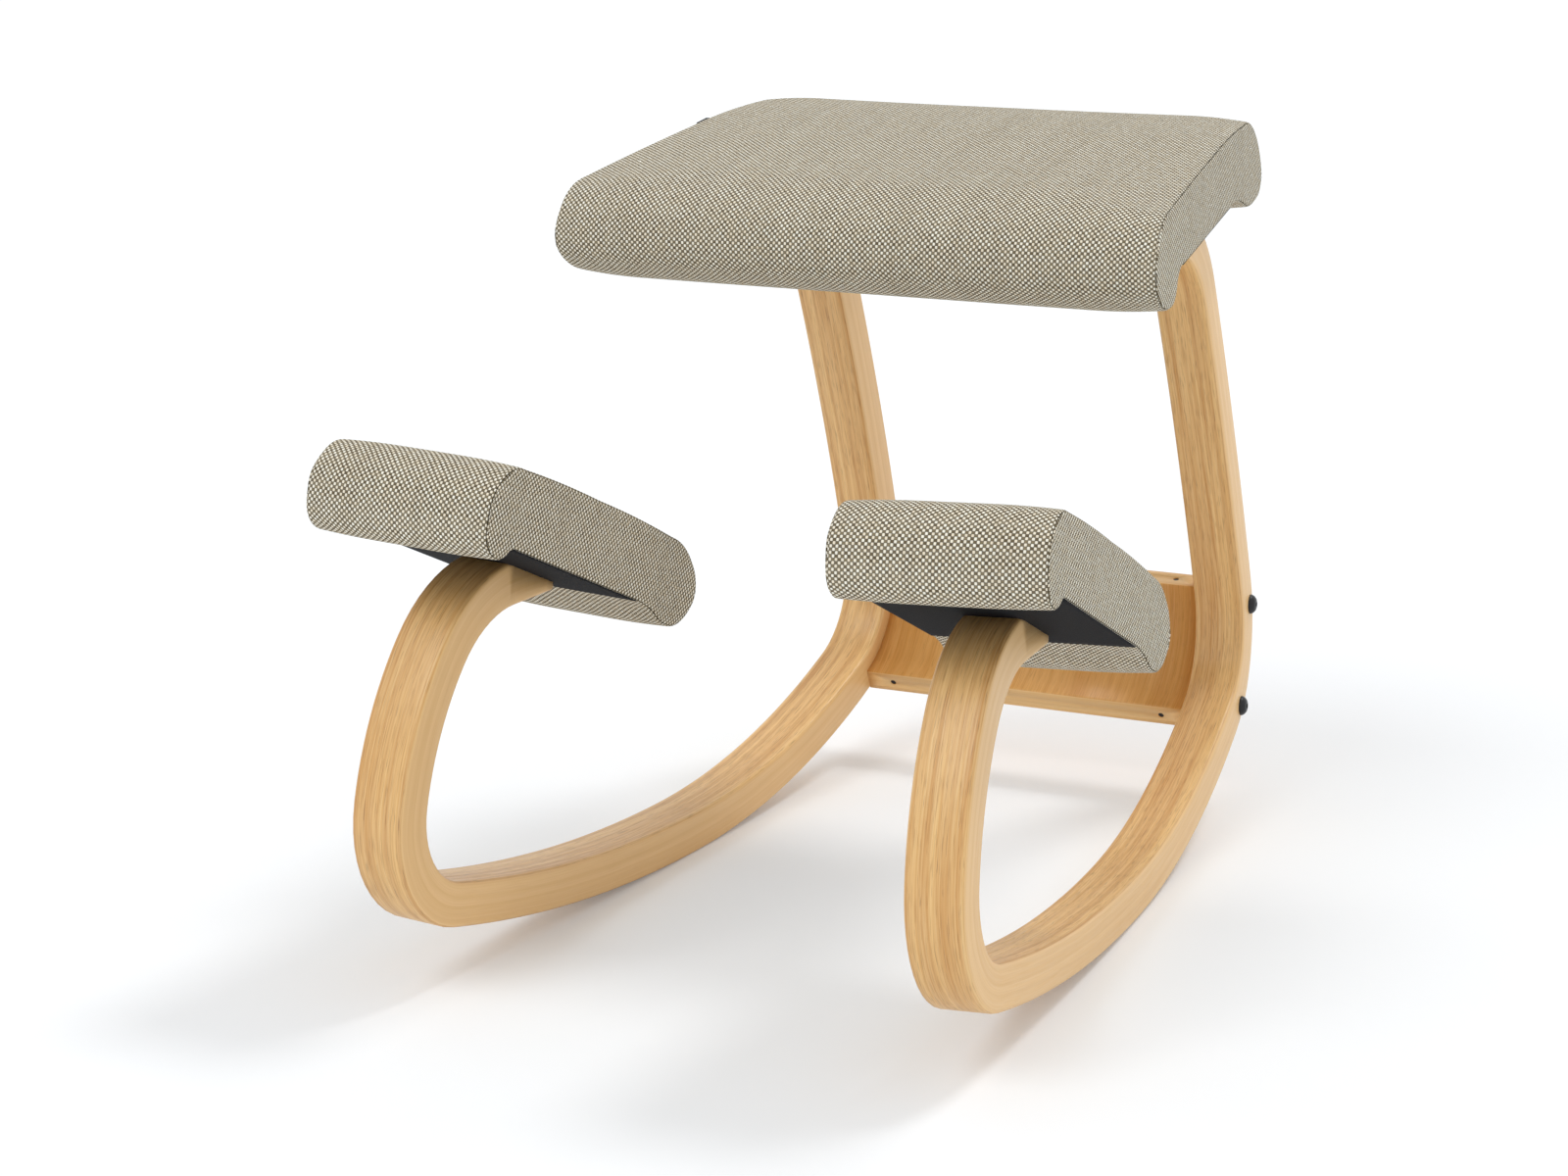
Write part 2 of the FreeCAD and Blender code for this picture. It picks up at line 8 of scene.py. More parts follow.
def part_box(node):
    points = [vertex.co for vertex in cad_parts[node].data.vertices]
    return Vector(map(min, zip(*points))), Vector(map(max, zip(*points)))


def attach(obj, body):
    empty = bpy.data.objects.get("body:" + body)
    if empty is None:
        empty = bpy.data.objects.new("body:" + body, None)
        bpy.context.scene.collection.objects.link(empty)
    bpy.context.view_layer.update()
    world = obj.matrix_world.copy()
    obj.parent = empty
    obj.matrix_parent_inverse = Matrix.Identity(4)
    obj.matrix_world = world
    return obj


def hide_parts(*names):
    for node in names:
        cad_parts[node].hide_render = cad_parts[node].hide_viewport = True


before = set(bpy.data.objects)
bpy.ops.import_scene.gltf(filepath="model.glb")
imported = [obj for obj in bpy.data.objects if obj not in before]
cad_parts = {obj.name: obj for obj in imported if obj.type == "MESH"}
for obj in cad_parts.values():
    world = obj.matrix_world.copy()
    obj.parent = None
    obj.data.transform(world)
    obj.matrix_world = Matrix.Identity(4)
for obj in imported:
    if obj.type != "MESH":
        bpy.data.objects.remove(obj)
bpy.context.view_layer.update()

# Lengths are in metres and angles in degrees. X runs across the chair, Y towards the seat, Z up.

# Runner strip and its path from the knee end to the seat end. A bend is its turn and its radius.
STRIP_W, STRIP_T = 0.040, 0.032
STRIP_ROUND = 0.0034       # rounding of the long corners
STAND_ROUND = 0.0028       # the solids' rounding, which sets how high a cambered runner stands
HALF_SPAN, SPLAY, CAMBER = 0.181, 3.6, 2.2
CONTACT_Y = 0.0331         # where the rockers touch the floor
KNEE_END_L, SEAT_END_L = 0.046, 0.112
KNEE_R, TOP_R = 0.0955, 0.097
LEG = (29.5, 0.208)
FRONT = (86.3, 0.072)
ROCK_FRONT = (14.7, 1.296)
ROCK_REAR = (24.1, 0.665)
REAR = (85.1, 0.077)
UPRIGHT = (6.9, 2.278)
RING_STEP = 0.009          # spacing of the rings of faces along a runner
TWIN_GRAIN = 3.7           # shift of the left runner's grain

# Landings of the seat and the pads on the runners, and the sinks of their bolt heads
SEAT_SLOPE, PAD_SLOPE = 7.5, 24.0
NOSE_T = 0.007             # what the pad's landing leaves of the strip at its tip
PAD_LAND = 0.050
PAD_PLANE_REACH, SEAT_PLANE_REACH = 0.09, 0.24
SEAT_BOLT_Y, PAD_BOLT_Y = (-0.030, 0.022), (-0.016, 0.008)
SINK_R, SINK_DEPTH, SINK_REACH = 0.006, 0.0035, 0.03

# Cross panel, and the pins in the bores of its edges
PANEL_T, PANEL_RECESS, PANEL_TURN, PANEL_ROUND = 0.0185, 0.0004, 84.0, 0.0013
BOLT_FROM_EDGE, PIN_INSET = 0.018, 0.021
# The pins sit PIN_BELOW inside the bores' mouths, closer than in the CAD, so that their black ends stand in
# as painted shade for the dark bores.
PIN_BORE, PIN_PLAY, PIN_LENGTH, PIN_BELOW = 0.0025, 0.0002, 0.008, 0.0006
BORE_OVER, BORE_LENGTH = 0.002, 0.012

# Button heads of the frame bolts: half of their outline, from the socket's mouth to the shank's end
HEAD_H, SHANK_R, SHANK_L = 0.0050, 0.0030, 0.050
BOLT_OUTLINE = [
    (0.0023, HEAD_H), (0.0033, HEAD_H - 0.0001), (0.0050, HEAD_H - 0.0007), (0.0066, HEAD_H - 0.0020),
    (0.0075, HEAD_H - 0.0034), (0.00775, 0.0009), (0.00775, 0.0), (SHANK_R, 0.0), (SHANK_R, -SHANK_L),
    (0.0, -SHANK_L),
]
SOCKET_HALF_W, SOCKET_DEPTH = 0.0019, 0.0024

# Seat and pads
SEAT_FROM_CONTACT, SEAT_FLAT_CUT = 0.068, 0.0003
SEAT_HALF_W, SEAT_TAPER, SEAT_CROWN = 0.2115, 5.8, 0.0032
PAD_HALF_W, PAD_CROWN, PAD_SHIFT = 0.0715, 0.0018, -0.007
CROWN_REACH = 0.048        # how far in from its ends a cushion is crowned
FLAT_HEIGHT, FLAT_FADE = 0.012, 0.02    # where the crown fades out towards the flat underside
END_RINGS = [0.0, 0.0014, 0.0045, 0.009]
SEAT_STEP, PAD_STEP = 0.0062, 0.0045    # size of a cushion's faces
SEAT_CAP, PAD_CAP = 0.0032, 0.0022      # how far the air may move a point
COVER_T, SEAM_WIDTH, SEAM_DEPTH = 0.0013, 0.0014, 0.0012

# Sections of the cushions in millimetres: the end of each arc and a point on the way
SEAT_SECTION = [
    ((-76.0, 0.0), None), ((-97.0, -15.5), (-90.0, -4.0)), ((-118.0, -22.5), (-105.0, -21.5)),
    ((-159.5, 1.0), (-144.5, -13.5)), ((-153.5, 34.5), (-161.5, 18.0)), ((-118.0, 52.0), (-139.5, 47.2)),
    ((30.0, 56.0), (-44.0, 54.6)), ((129.0, 53.0), (79.0, 56.0)), ((170.0, 35.5), (152.0, 48.0)),
    ((188.0, -1.0), (182.5, 18.0)), ((167.0, -20.0), (182.0, -15.0)), ((128.0, -15.5), (147.5, -20.0)),
    ((78.0, 0.0), (104.0, -5.5)),
]
PAD_SECTION = [
    ((-111.0, 0.0), None), ((-127.0, -12.0), (-117.5, -8.5)), ((-148.0, 9.0), (-142.0, -6.0)),
    ((-141.5, 42.0), (-148.8, 28.0)), ((-116.0, 54.0), (-131.0, 51.2)), ((-15.0, 56.0), (-64.0, 56.0)),
    ((93.0, 54.0), (40.0, 56.0)), ((130.0, 42.5), (114.5, 51.0)), ((143.5, 19.0), (140.2, 32.0)),
    ((119.0, -9.5), (136.5, 1.0)), ((96.0, -8.0), (107.5, -10.0)), ((64.0, 0.0), (80.0, -3.0)),
]
SEAT_SHAPE = (SEAT_SECTION, SEAT_HALF_W, SEAT_TAPER)
PAD_SHAPE = (PAD_SECTION, PAD_HALF_W, 0.0)

# Black sheets under the cushions, and the loop tag
SHEET_MARGIN, SHEET_T, SHEET_DROP, SHEET_SAG = 0.0012, 0.0009, 0.0003, 0.0004
TAG_LENGTH, TAG_W, TAG_T, TAG_BACK = 0.0125, 0.016, 0.0004, 0.008

# Finishes
YARN = 0.0021              # spacing of the yarns
PLY_PER_M, PANEL_PLY_PER_M = 560.0, 620.0
PANEL_GRAIN = 5.3          # shift of the panel's grain
GRAIN_RELIEF = (0.00012, 0.5)
LACQUER = dict(Coat_Weight=0.12, Coat_Roughness=0.25)
WHITE = (1.0, 1.0, 1.0, 1.0)

MIRROR = Matrix.Diagonal((-1, 1, 1, 1))


# Shader tools

def tone(red, green, blue):
    """Linear colour of a screen colour of 0 to 255."""
    def linear(value):
        value /= 255
        return value / 12.92 if value <= 0.04045 else ((value + 0.055) / 1.055) ** 2.4
    return (linear(red), linear(green), linear(blue), 1.0)


class Value:
    """A shader socket, so that maths on it reads as a Python expression."""

    def __init__(self, tree, socket):
        self.tree, self.socket = tree, socket

    def maths(self, operation, *others):
        return self.tree.node("ShaderNodeMath", dict(operation=operation), self, *others)

    def __add__(self, other):
        return self.maths("ADD", other)

    def __mul__(self, other):
        return self.maths("MULTIPLY", other)

    def __sub__(self, other):
        return self.maths("SUBTRACT", other)

    def __rsub__(self, other):
        return self.tree.node("ShaderNodeMath", dict(operation="SUBTRACT"), other, self)

    def __truediv__(self, other):
        return self.maths("DIVIDE", other)

    def __rtruediv__(self, other):
        return self.tree.node("ShaderNodeMath", dict(operation="DIVIDE"), other, self)

    def __mod__(self, other):
        return self.maths("FLOORED_MODULO", other)

    __radd__ = __add__
    __rmul__ = __mul__

    def floor(self):
        return self.maths("FLOOR")

    def part(self):
        return self.maths("FRACT")

    def size(self):
        return self.maths("ABSOLUTE")

    def most(self, other):
        return self.maths("MAXIMUM", other)

    def power(self, other):
        return self.maths("POWER", other)

    def over(self, low, high, start=0.0, end=1.0):
        """Moves smoothly from start at low to end at high."""
        return self.tree.node("ShaderNodeMapRange", dict(interpolation_type="SMOOTHSTEP"),
                              self, low, high, start, end)

    def beside(self, number):
        """Another output of the same node."""
        return Value(self.tree, self.socket.node.outputs[number])


class Tree:
    """A node tree that is built one node at a time."""

    def __init__(self, tree):
        self.tree = tree

    def plug(self, socket, value):
        if isinstance(value, Value):
            self.tree.links.new(value.socket, socket)
        elif value is not None:
            socket.default_value = value

    def node(self, kind, settings=None, *inputs, out=0, **named):
        """A node of a kind. Its settings come first, then its sockets, in order or by name."""
        made = self.tree.nodes.new(kind)
        for key, value in (settings or {}).items():
            setattr(made, key, value)
        for socket, value in zip(made.inputs, inputs):
            self.plug(socket, value)
        for name, value in named.items():
            self.plug(made.inputs[name.replace("_", " ")], value)
        return Value(self, made.outputs[out])

    def show_as(self, output, unused, shader):
        """Ends the tree in a shader of its own and drops the one that it came with."""
        self.plug(self.tree.nodes[output].inputs["Surface"], shader)
        self.tree.nodes.remove(self.tree.nodes[unused])


class Finish(Tree):
    """A material on the Principled shader. The scales of its patterns are per metre."""

    def __init__(self, name):
        self.material = bpy.data.materials.new(name)
        self.material.use_nodes = True
        super().__init__(self.material.node_tree)
        self.shader = self.tree.nodes["Principled BSDF"]

    def uv(self, name):
        """The two coordinates of a UV map, which are in metres."""
        u = self.node("ShaderNodeSeparateXYZ", None, self.node("ShaderNodeUVMap", dict(uv_map=name)))
        return u, u.beside(1)

    def place(self):
        """Object coordinates as three values."""
        x = self.node("ShaderNodeSeparateXYZ", None, self.node("ShaderNodeTexCoord", out="Object"))
        return x, x.beside(1), x.beside(2)

    def noise(self, x, y, z=0.0, detail=2.0, rough=0.5):
        where = self.node("ShaderNodeCombineXYZ", None, x, y, z)
        return self.node("ShaderNodeTexNoise", Vector=where, Scale=1.0, Detail=detail, Roughness=rough)

    def chance(self, x, y):
        """A random value of its own for each whole pair."""
        where = self.node("ShaderNodeCombineXYZ", None, x, y, 0.0)
        return self.node("ShaderNodeTexWhiteNoise", dict(noise_dimensions="2D"), where)

    def blend(self, share, first, second):
        """Colour that goes from first to second as share goes from 0 to 1."""
        numbers_and_vectors = [None] * 5
        return self.node("ShaderNodeMix", dict(data_type="RGBA"), share, *numbers_and_vectors,
                         first, second, out=2)

    def relief(self, height, distance, strength):
        self.plug(self.shader.inputs["Normal"], self.node(
            "ShaderNodeBump", Strength=strength, Distance=distance, Height=height))

    def set(self, **values):
        for name, value in values.items():
            self.plug(self.shader.inputs[name.replace("_", " ")], value)
        return self.material


# Finishes

def oak_face(finish, along, across, shift=0.0):
    """Streaky oak: broad bands, fine fibres and short dark pores along the grain."""
    along = along + shift
    wander = finish.noise(along * 5, across * 20, 3.0) - 0.5
    bands = finish.noise(along * 1.6, (across + wander * 0.006) * 150, 0.0, 3.0, 0.55)
    fibres = finish.noise(along * 9, (across + wander * 0.003) * 900, 7.0, 3.0, 0.6)
    flecks = finish.noise(along * 42, across * 900, 11.0, 1.0, 0.5)
    pores = finish.noise(along * 60, across * 1500, 19.0, 1.0, 0.5).over(0.60, 0.72)
    colour = finish.blend(bands.over(0.36, 0.66), tone(203, 148, 82), tone(232, 188, 122))
    colour = finish.blend(fibres.over(0.35, 0.70) * 0.55, colour, tone(240, 206, 150))
    colour = finish.blend(flecks.over(0.52, 0.70) * 0.35, colour, tone(172, 118, 60))
    colour = finish.blend(pores * 0.5, colour, tone(134, 90, 50))
    return colour, fibres * 0.5 + (1 - pores) * 0.5


def ply_face(finish, along, across, plies_per_metre):
    """Lacquered ply edges: an even tone with faint glue lines along the path."""
    plies = across * plies_per_metre
    line = (plies.part() - 0.5).size().over(0.40, 0.5)
    tint = finish.chance(plies.floor(), 3.0) * 0.3 + finish.noise(along * 5, across * 160, 5.0) * 0.4
    colour = finish.blend((tint + 0.15).over(0.2, 0.8), tone(228, 184, 122), tone(240, 200, 142))
    fibre = finish.noise(along * 30, across * 1400, 9.0)
    colour = finish.blend(fibre.over(0.45, 0.7) * 0.15, colour, tone(206, 158, 98))
    colour = finish.blend(line * 0.08, colour, tone(184, 134, 80))
    return colour, 1 - line * 0.3


def lacquered(finish, along, across, low=0.36, high=0.50):
    """Roughness of satin lacquer over wood."""
    return finish.noise(along * 30, across * 400, 2.0).over(0.2, 0.8, low, high)


def runner_wood():
    """Oak veneer on the wide faces, glued plies on the sides."""
    finish = Finish("runner_wood")
    along, around = finish.uv("strip")
    turn = STRIP_W + STRIP_T
    spot = around % turn
    on_side = (spot - STRIP_W).over(-0.0008, 0.0008) * (turn - spot).over(-0.0008, 0.0008)
    oak, oak_height = oak_face(finish, along, around)
    ply, ply_height = ply_face(finish, along, spot, PLY_PER_M)
    finish.relief(oak_height * (1 - on_side) + ply_height * on_side, *GRAIN_RELIEF)
    return finish.set(Base_Color=finish.blend(on_side, oak, ply),
                      Roughness=lacquered(finish, along, around), **LACQUER)


def end_wood():
    """Sawn ends of the plies."""
    finish = Finish("end_wood")
    x, y, z = finish.place()
    speck = finish.noise(x * 900, y * 900, z * 900)
    rings = finish.noise(x * 40, y * 160, z * 160)
    colour = finish.blend(rings.over(0.3, 0.7), tone(196, 148, 98), tone(222, 180, 130))
    colour = finish.blend(speck.over(0.5, 0.8) * 0.4, colour, tone(150, 104, 62))
    finish.relief(speck, 0.0001, 0.4)
    return finish.set(Base_Color=colour, Roughness=speck.over(0.0, 1.0, 0.5, 0.65))


def panel_wood():
    """Veneer on both faces of the cross panel, with the grain round the bend."""
    finish = Finish("panel_wood")
    along, across = finish.uv("strip")
    oak, height = oak_face(finish, along, across, PANEL_GRAIN)
    finish.relief(height, *GRAIN_RELIEF)
    return finish.set(Base_Color=finish.blend(0.45, oak, tone(230, 160, 62)),
                      Roughness=lacquered(finish, along, across), **LACQUER)


def panel_edge_wood():
    """Plies on the cross panel's edges."""
    finish = Finish("panel_edge_wood")
    across, along = finish.uv("strip")
    colour, height = ply_face(finish, along, across, PANEL_PLY_PER_M)
    finish.relief(height, 0.0001, 0.5)
    return finish.set(Base_Color=colour, Roughness=lacquered(finish, along, across, 0.38, 0.52))


def woven_cloth():
    """Plain weave of pale warp over darker weft, each crossing with a tone of its own, and painted shade
    darkening the gaps between the yarns.
    """
    finish = Finish("woven_cloth")
    u, v = finish.uv("weave")
    across = u / YARN + (finish.noise(u * 160, v * 160, 1.0) - 0.5) * 0.25
    down = v / YARN + (finish.noise(u * 160, v * 160, 8.0) - 0.5) * 0.25
    column, row = across.floor(), down.floor()
    warp_over = (column + row) % 2.0
    from_warp = (across.part() - 0.5).size() * 2
    from_weft = (down.part() - 0.5).size() * 2
    side = warp_over * from_warp + (1 - warp_over) * from_weft
    length = warp_over * from_weft + (1 - warp_over) * from_warp
    height = (1 - side.power(2.2)) * (1 - length.power(2.0) * 0.55)
    shade = finish.chance(column, row)
    thread = finish.chance(column, 7.0) * warp_over + finish.chance(row, 5.0) * (1 - warp_over)
    warp = finish.blend(shade, tone(243, 232, 209), tone(255, 252, 238))
    weft = finish.blend(shade, tone(100, 88, 66), tone(140, 128, 101))
    colour = finish.blend(warp_over, weft, warp)
    colour = finish.blend(thread.over(0.3, 1.0) * 0.14, colour, tone(176, 166, 147))
    # Painted shade: the low ground between the yarns is darkened in the colour, where the weave's hollows
    # fall into shade.
    painted_gap_shade = 1 - height.over(0.05, 0.65)
    colour = finish.blend(painted_gap_shade * 0.75, colour, tone(66, 56, 38))
    strand = finish.noise(u * 5200, v * 5200, 4.0, 1.0)
    finish.relief(height + strand * 0.15, 0.0005, 0.9)
    return finish.set(Base_Color=colour, Roughness=strand.over(0.2, 0.8, 0.86, 0.97),
                      Specular_IOR_Level=0.25)


def underside_cloth():
    """Thin black non-woven sheet with pressed fibres."""
    finish = Finish("underside_cloth")
    x, y, z = finish.place()
    fibre = finish.noise(x * 700, y * 700, z * 700, 4.0, 0.7)
    dots = finish.noise(x * 1700, y * 1700, z * 1700)
    finish.relief(fibre + dots * 0.5, 0.0003, 0.6)
    return finish.set(Base_Color=finish.blend(fibre.over(0.3, 0.75), tone(16, 17, 20), tone(36, 38, 43)),
                      Roughness=fibre.over(0.2, 0.8, 0.8, 0.95), Specular_IOR_Level=0.15)


def black_steel():
    """Satin black plating of the bolt heads."""
    finish = Finish("black_steel")
    x, y, z = finish.place()
    grain = finish.noise(x * 1500, y * 1500, z * 1500)
    finish.relief(grain, 0.00004, 0.3)
    return finish.set(Base_Color=finish.blend(grain, tone(18, 18, 20), tone(34, 34, 37)),
                      Roughness=grain.over(0.2, 0.8, 0.28, 0.42), Metallic=0.3)


def zinc_steel():
    """Zinc plating of the hidden bolts and nuts."""
    finish = Finish("zinc_steel")
    x, y, z = finish.place()
    spangle = finish.noise(x * 420, y * 420, z * 420, 3.0)
    finish.relief(spangle, 0.00004, 0.3)
    return finish.set(Base_Color=finish.blend(spangle, tone(160, 160, 158), tone(198, 198, 196)),
                      Roughness=spangle.over(0.2, 0.8, 0.3, 0.48), Metallic=1.0)


def raw_ply():
    """Unfinished plywood of the plates."""
    finish = Finish("raw_ply")
    x, y, z = finish.place()
    bands = finish.noise(x * 8, y * 260, z * 700, 3.0)
    finish.relief(bands, 0.0002, 0.4)
    return finish.set(Base_Color=finish.blend(bands.over(0.3, 0.7), tone(190, 156, 112), tone(224, 196, 154)),
                      Roughness=bands.over(0.2, 0.8, 0.6, 0.8))


def tag_cloth():
    """Plain dark ribbon with a ribbed weave."""
    finish = Finish("tag_cloth")
    ribs = ((finish.place()[1] * 1400).part() - 0.5).size() * 2
    finish.relief(ribs, 0.0002, 0.6)
    return finish.set(Base_Color=finish.blend(ribs, tone(22, 22, 24), tone(46, 46, 50)),
                      Roughness=ribs.over(0.0, 1.0, 0.7, 0.9))


# Places of the chair's parts, worked out along a runner's centreline

def polar(radius, degrees):
    return Vector((0, radius * math.cos(math.radians(degrees)), radius * math.sin(math.radians(degrees))))


def right_of(heading):
    return polar(1.0, heading - 90.0)


def path_steps():
    """Parts of a runner's centreline from the knee end: name, turn, and radius or length."""
    knee_turn = 180.0 - LEG[0] - FRONT[0] - ROCK_FRONT[0]
    top_turn = 180.0 + SEAT_SLOPE - ROCK_REAR[0] - REAR[0] - UPRIGHT[0]
    return [("knee_end", 0.0, KNEE_END_L), ("knee", knee_turn, KNEE_R), ("leg", *LEG), ("front", *FRONT),
            ("rock_front", *ROCK_FRONT), ("rock_rear", *ROCK_REAR), ("rear", *REAR), ("upright", *UPRIGHT),
            ("top", top_turn, TOP_R), ("seat_end", 0.0, SEAT_END_L)]


def centreline():
    """Start, centre, heading, turn and size of each part, in the runner's own plane."""
    point, heading, segments = Vector((0, 0, 0)), 180.0, {}
    for name, turn, size in path_steps():
        centre = point - right_of(heading) * size if turn else None
        end = centre + right_of(heading + turn) * size if turn else point + polar(size, heading)
        segments[name] = dict(start=point, centre=centre, heading=heading, turn=turn, size=size)
        point, heading = end, heading + turn
    shift = Vector((0, CONTACT_Y, STRIP_T / 2)) - segments["rock_rear"]["start"]
    for segment in segments.values():
        segment["start"] = segment["start"] + shift
        if segment["turn"]:
            segment["centre"] = segment["centre"] + shift
    return segments


def seat_place():
    """Frame of the seat's flat underside, with its origin between the runners' seat ends."""
    top = SEGMENTS["seat_end"]["start"] + right_of(180.0 + SEAT_SLOPE) * (STRIP_T / 2)
    touch = RUNNER @ Vector((-STRIP_W / 2, top.y, top.z - SEAT_FLAT_CUT))
    y = CONTACT_Y + SEAT_FROM_CONTACT
    z = touch.z + (y - touch.y) * math.tan(math.radians(SEAT_SLOPE))
    return Matrix.Translation((0, y, z)) @ Matrix.Rotation(math.radians(SEAT_SLOPE), 4, "X")


def pad_landing():
    """Frame of the landing that is planed on the right runner for its knee pad."""
    tip = SEGMENTS["knee_end"]["start"]
    middle = Vector((0, tip.y, tip.z - STRIP_T / 2 + NOSE_T)) - polar(PAD_LAND / 2, -PAD_SLOPE)
    return RUNNER @ Matrix.Translation(middle) @ Matrix.Rotation(math.radians(-PAD_SLOPE), 4, "X")


SEGMENTS = centreline()
LIFT = (STRIP_W / 2 - STAND_ROUND) * math.sin(math.radians(CAMBER))
RUNNER = (Matrix.Translation((HALF_SPAN, 0, LIFT)) @ Matrix.Rotation(math.radians(SPLAY), 4, "Z")
          @ Matrix.Rotation(math.radians(-CAMBER), 4, "Y"))
ACROSS = RUNNER.to_3x3() @ Vector((1, 0, 0))
SEAT = seat_place()
LANDING = pad_landing()
PAD = LANDING @ Matrix.Translation((0, PAD_SHIFT, 0))

PANEL_OUTER_R = REAR[1] + STRIP_T / 2 - PANEL_RECESS
PANEL_MID_R = PANEL_OUTER_R - PANEL_T / 2
PANEL_FIRST = SEGMENTS["rear"]["heading"] + (REAR[0] - PANEL_TURN) / 2
PANEL_LAST = PANEL_FIRST + PANEL_TURN
EDGE_TURN = math.degrees(BOLT_FROM_EDGE / PANEL_MID_R)
BOLT_HEADINGS = (PANEL_FIRST + EDGE_TURN, PANEL_LAST - EDGE_TURN)


def rear_point(heading, radius, x):
    """Point on the rear bend of the right runner."""
    return RUNNER @ (SEGMENTS["rear"]["centre"] + right_of(heading) * radius + Vector((x, 0, 0)))


# Mesh tools

def verts_of(grown):
    """The vertices in an operator's result."""
    return [g for g in grown["geom"] if isinstance(g, bmesh.types.BMVert)]


def edges_among(grown, verts):
    """The edges in an operator's result that join two of the given vertices."""
    verts = set(verts)
    return [g for g in grown["geom"] if isinstance(g, bmesh.types.BMEdge) and verts.issuperset(g.verts)]


def object_of(name, bm):
    """An object in the scene with a bmesh as its mesh."""
    mesh = bpy.data.meshes.new(name)
    bm.to_mesh(mesh)
    bm.free()
    made = bpy.data.objects.new(name, mesh)
    bpy.context.scene.collection.objects.link(made)
    return made


def shown(name, bm, materials, nodes, matrix=None):
    """Makes a finished piece of a bmesh, placed by matrix, riding on the chair."""
    if matrix is not None:
        bmesh.ops.transform(bm, matrix=matrix, verts=bm.verts)
    bmesh.ops.recalc_face_normals(bm, faces=bm.faces)
    piece = object_of(name, bm)
    for material in materials:
        piece.data.materials.append(material)
    piece.data.shade_smooth()
    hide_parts(*nodes)
    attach(piece, "root")
    return piece


def sharpened(piece, degrees):
    """Keeps the edges crisp that turn by more than degrees."""
    piece.data.set_sharp_from_angle(angle=math.radians(degrees))


def cylinder(radius, base, direction, length, sides=32):
    """A bmesh rod from base along direction."""
    bm = bmesh.new()
    turn = direction.to_track_quat("Z", "Y").to_matrix().to_4x4()
    place = Matrix.Translation(base + direction * (length / 2)) @ turn
    bmesh.ops.create_cone(bm, cap_ends=True, segments=sides, radius1=radius, radius2=radius,
                          depth=length, matrix=place)
    return bm


def drilled(bm, rods):
    """Cuts rods out of a closed bmesh and returns the new bmesh."""
    blank, *cutters = [object_of("cut", source) for source in [bm, *rods]]
    for cutter in cutters:
        bore = blank.modifiers.new("bore", "BOOLEAN")
        bore.operation, bore.solver, bore.object = "DIFFERENCE", "EXACT", cutter
    result = bmesh.new()
    result.from_object(blank, bpy.context.evaluated_depsgraph_get())
    for spent in [blank, *cutters]:
        mesh = spent.data
        bpy.data.objects.remove(spent)
        bpy.data.meshes.remove(mesh)
    return result


def joined(parts):
    """One bmesh of several."""
    whole = bmesh.new()
    for bm in parts:
        mesh = bpy.data.meshes.new("part")
        bm.to_mesh(mesh)
        bm.free()
        whole.from_mesh(mesh)
        bpy.data.meshes.remove(mesh)
    return whole


def unwrapped(loops, distance, whole):
    """Distance round a closed section at each loop, kept in one run where a face spans the start."""
    places = [loop.vert[distance] for loop in loops]
    if max(places) - min(places) > whole / 2:
        places = [place + whole if place < whole / 2 else place for place in places]
    return places


# Frame of the chair

def strip_section(bm, around):
    """Loop of edges of the strip's rounded section at the knee end."""
    start, up = SEGMENTS["knee_end"]["start"], right_of(180.0)
    half_w, half_t, near = STRIP_W / 2, STRIP_T / 2, STRIP_ROUND * 0.3
    corners = [(-half_w, half_t), (half_w, half_t), (half_w, -half_t), (-half_w, -half_t)]
    bm.faces.new([bm.verts.new(start + Vector((x, 0, 0)) + up * out) for x, out in corners])
    bmesh.ops.bevel(bm, geom=list(bm.verts), offset=STRIP_ROUND, segments=4, profile=0.5,
                    affect="VERTICES", material=-1)
    # The distance round the section is counted from the inner end of the upper wide face.
    for vert in bm.verts:
        x, out = vert.co.x, (vert.co - start).dot(up)
        top, right = out >= half_t - near, x >= half_w - near
        bottom, left = out <= -half_t + near, x <= -half_w + near
        if top:
            vert[around] = x + half_w
        elif right:
            vert[around] = STRIP_W + half_t - out
        elif left and not bottom:
            vert[around] = 2 * STRIP_W + STRIP_T + out + half_t
        if bottom and not right:
            vert[around] = STRIP_W + STRIP_T + half_w - x
    edges = list(bm.edges)
    bmesh.ops.delete(bm, geom=list(bm.faces), context="FACES_ONLY")
    return edges


def lay_strip_uv(bm, along, around):
    """Unwraps the strip: along the path, and round its section."""
    strip = bm.loops.layers.uv.new("strip")
    for face in bm.faces:
        for loop, place in zip(face.loops, unwrapped(face.loops, around, 2 * (STRIP_W + STRIP_T))):
            loop[strip].uv = (loop.vert[along], place)


def closed_over(bm, edges):
    """Closes a loop of edges with a face of end grain."""
    for face in bmesh.ops.contextual_create(bm, geom=edges)["faces"]:
        face.material_index = 1


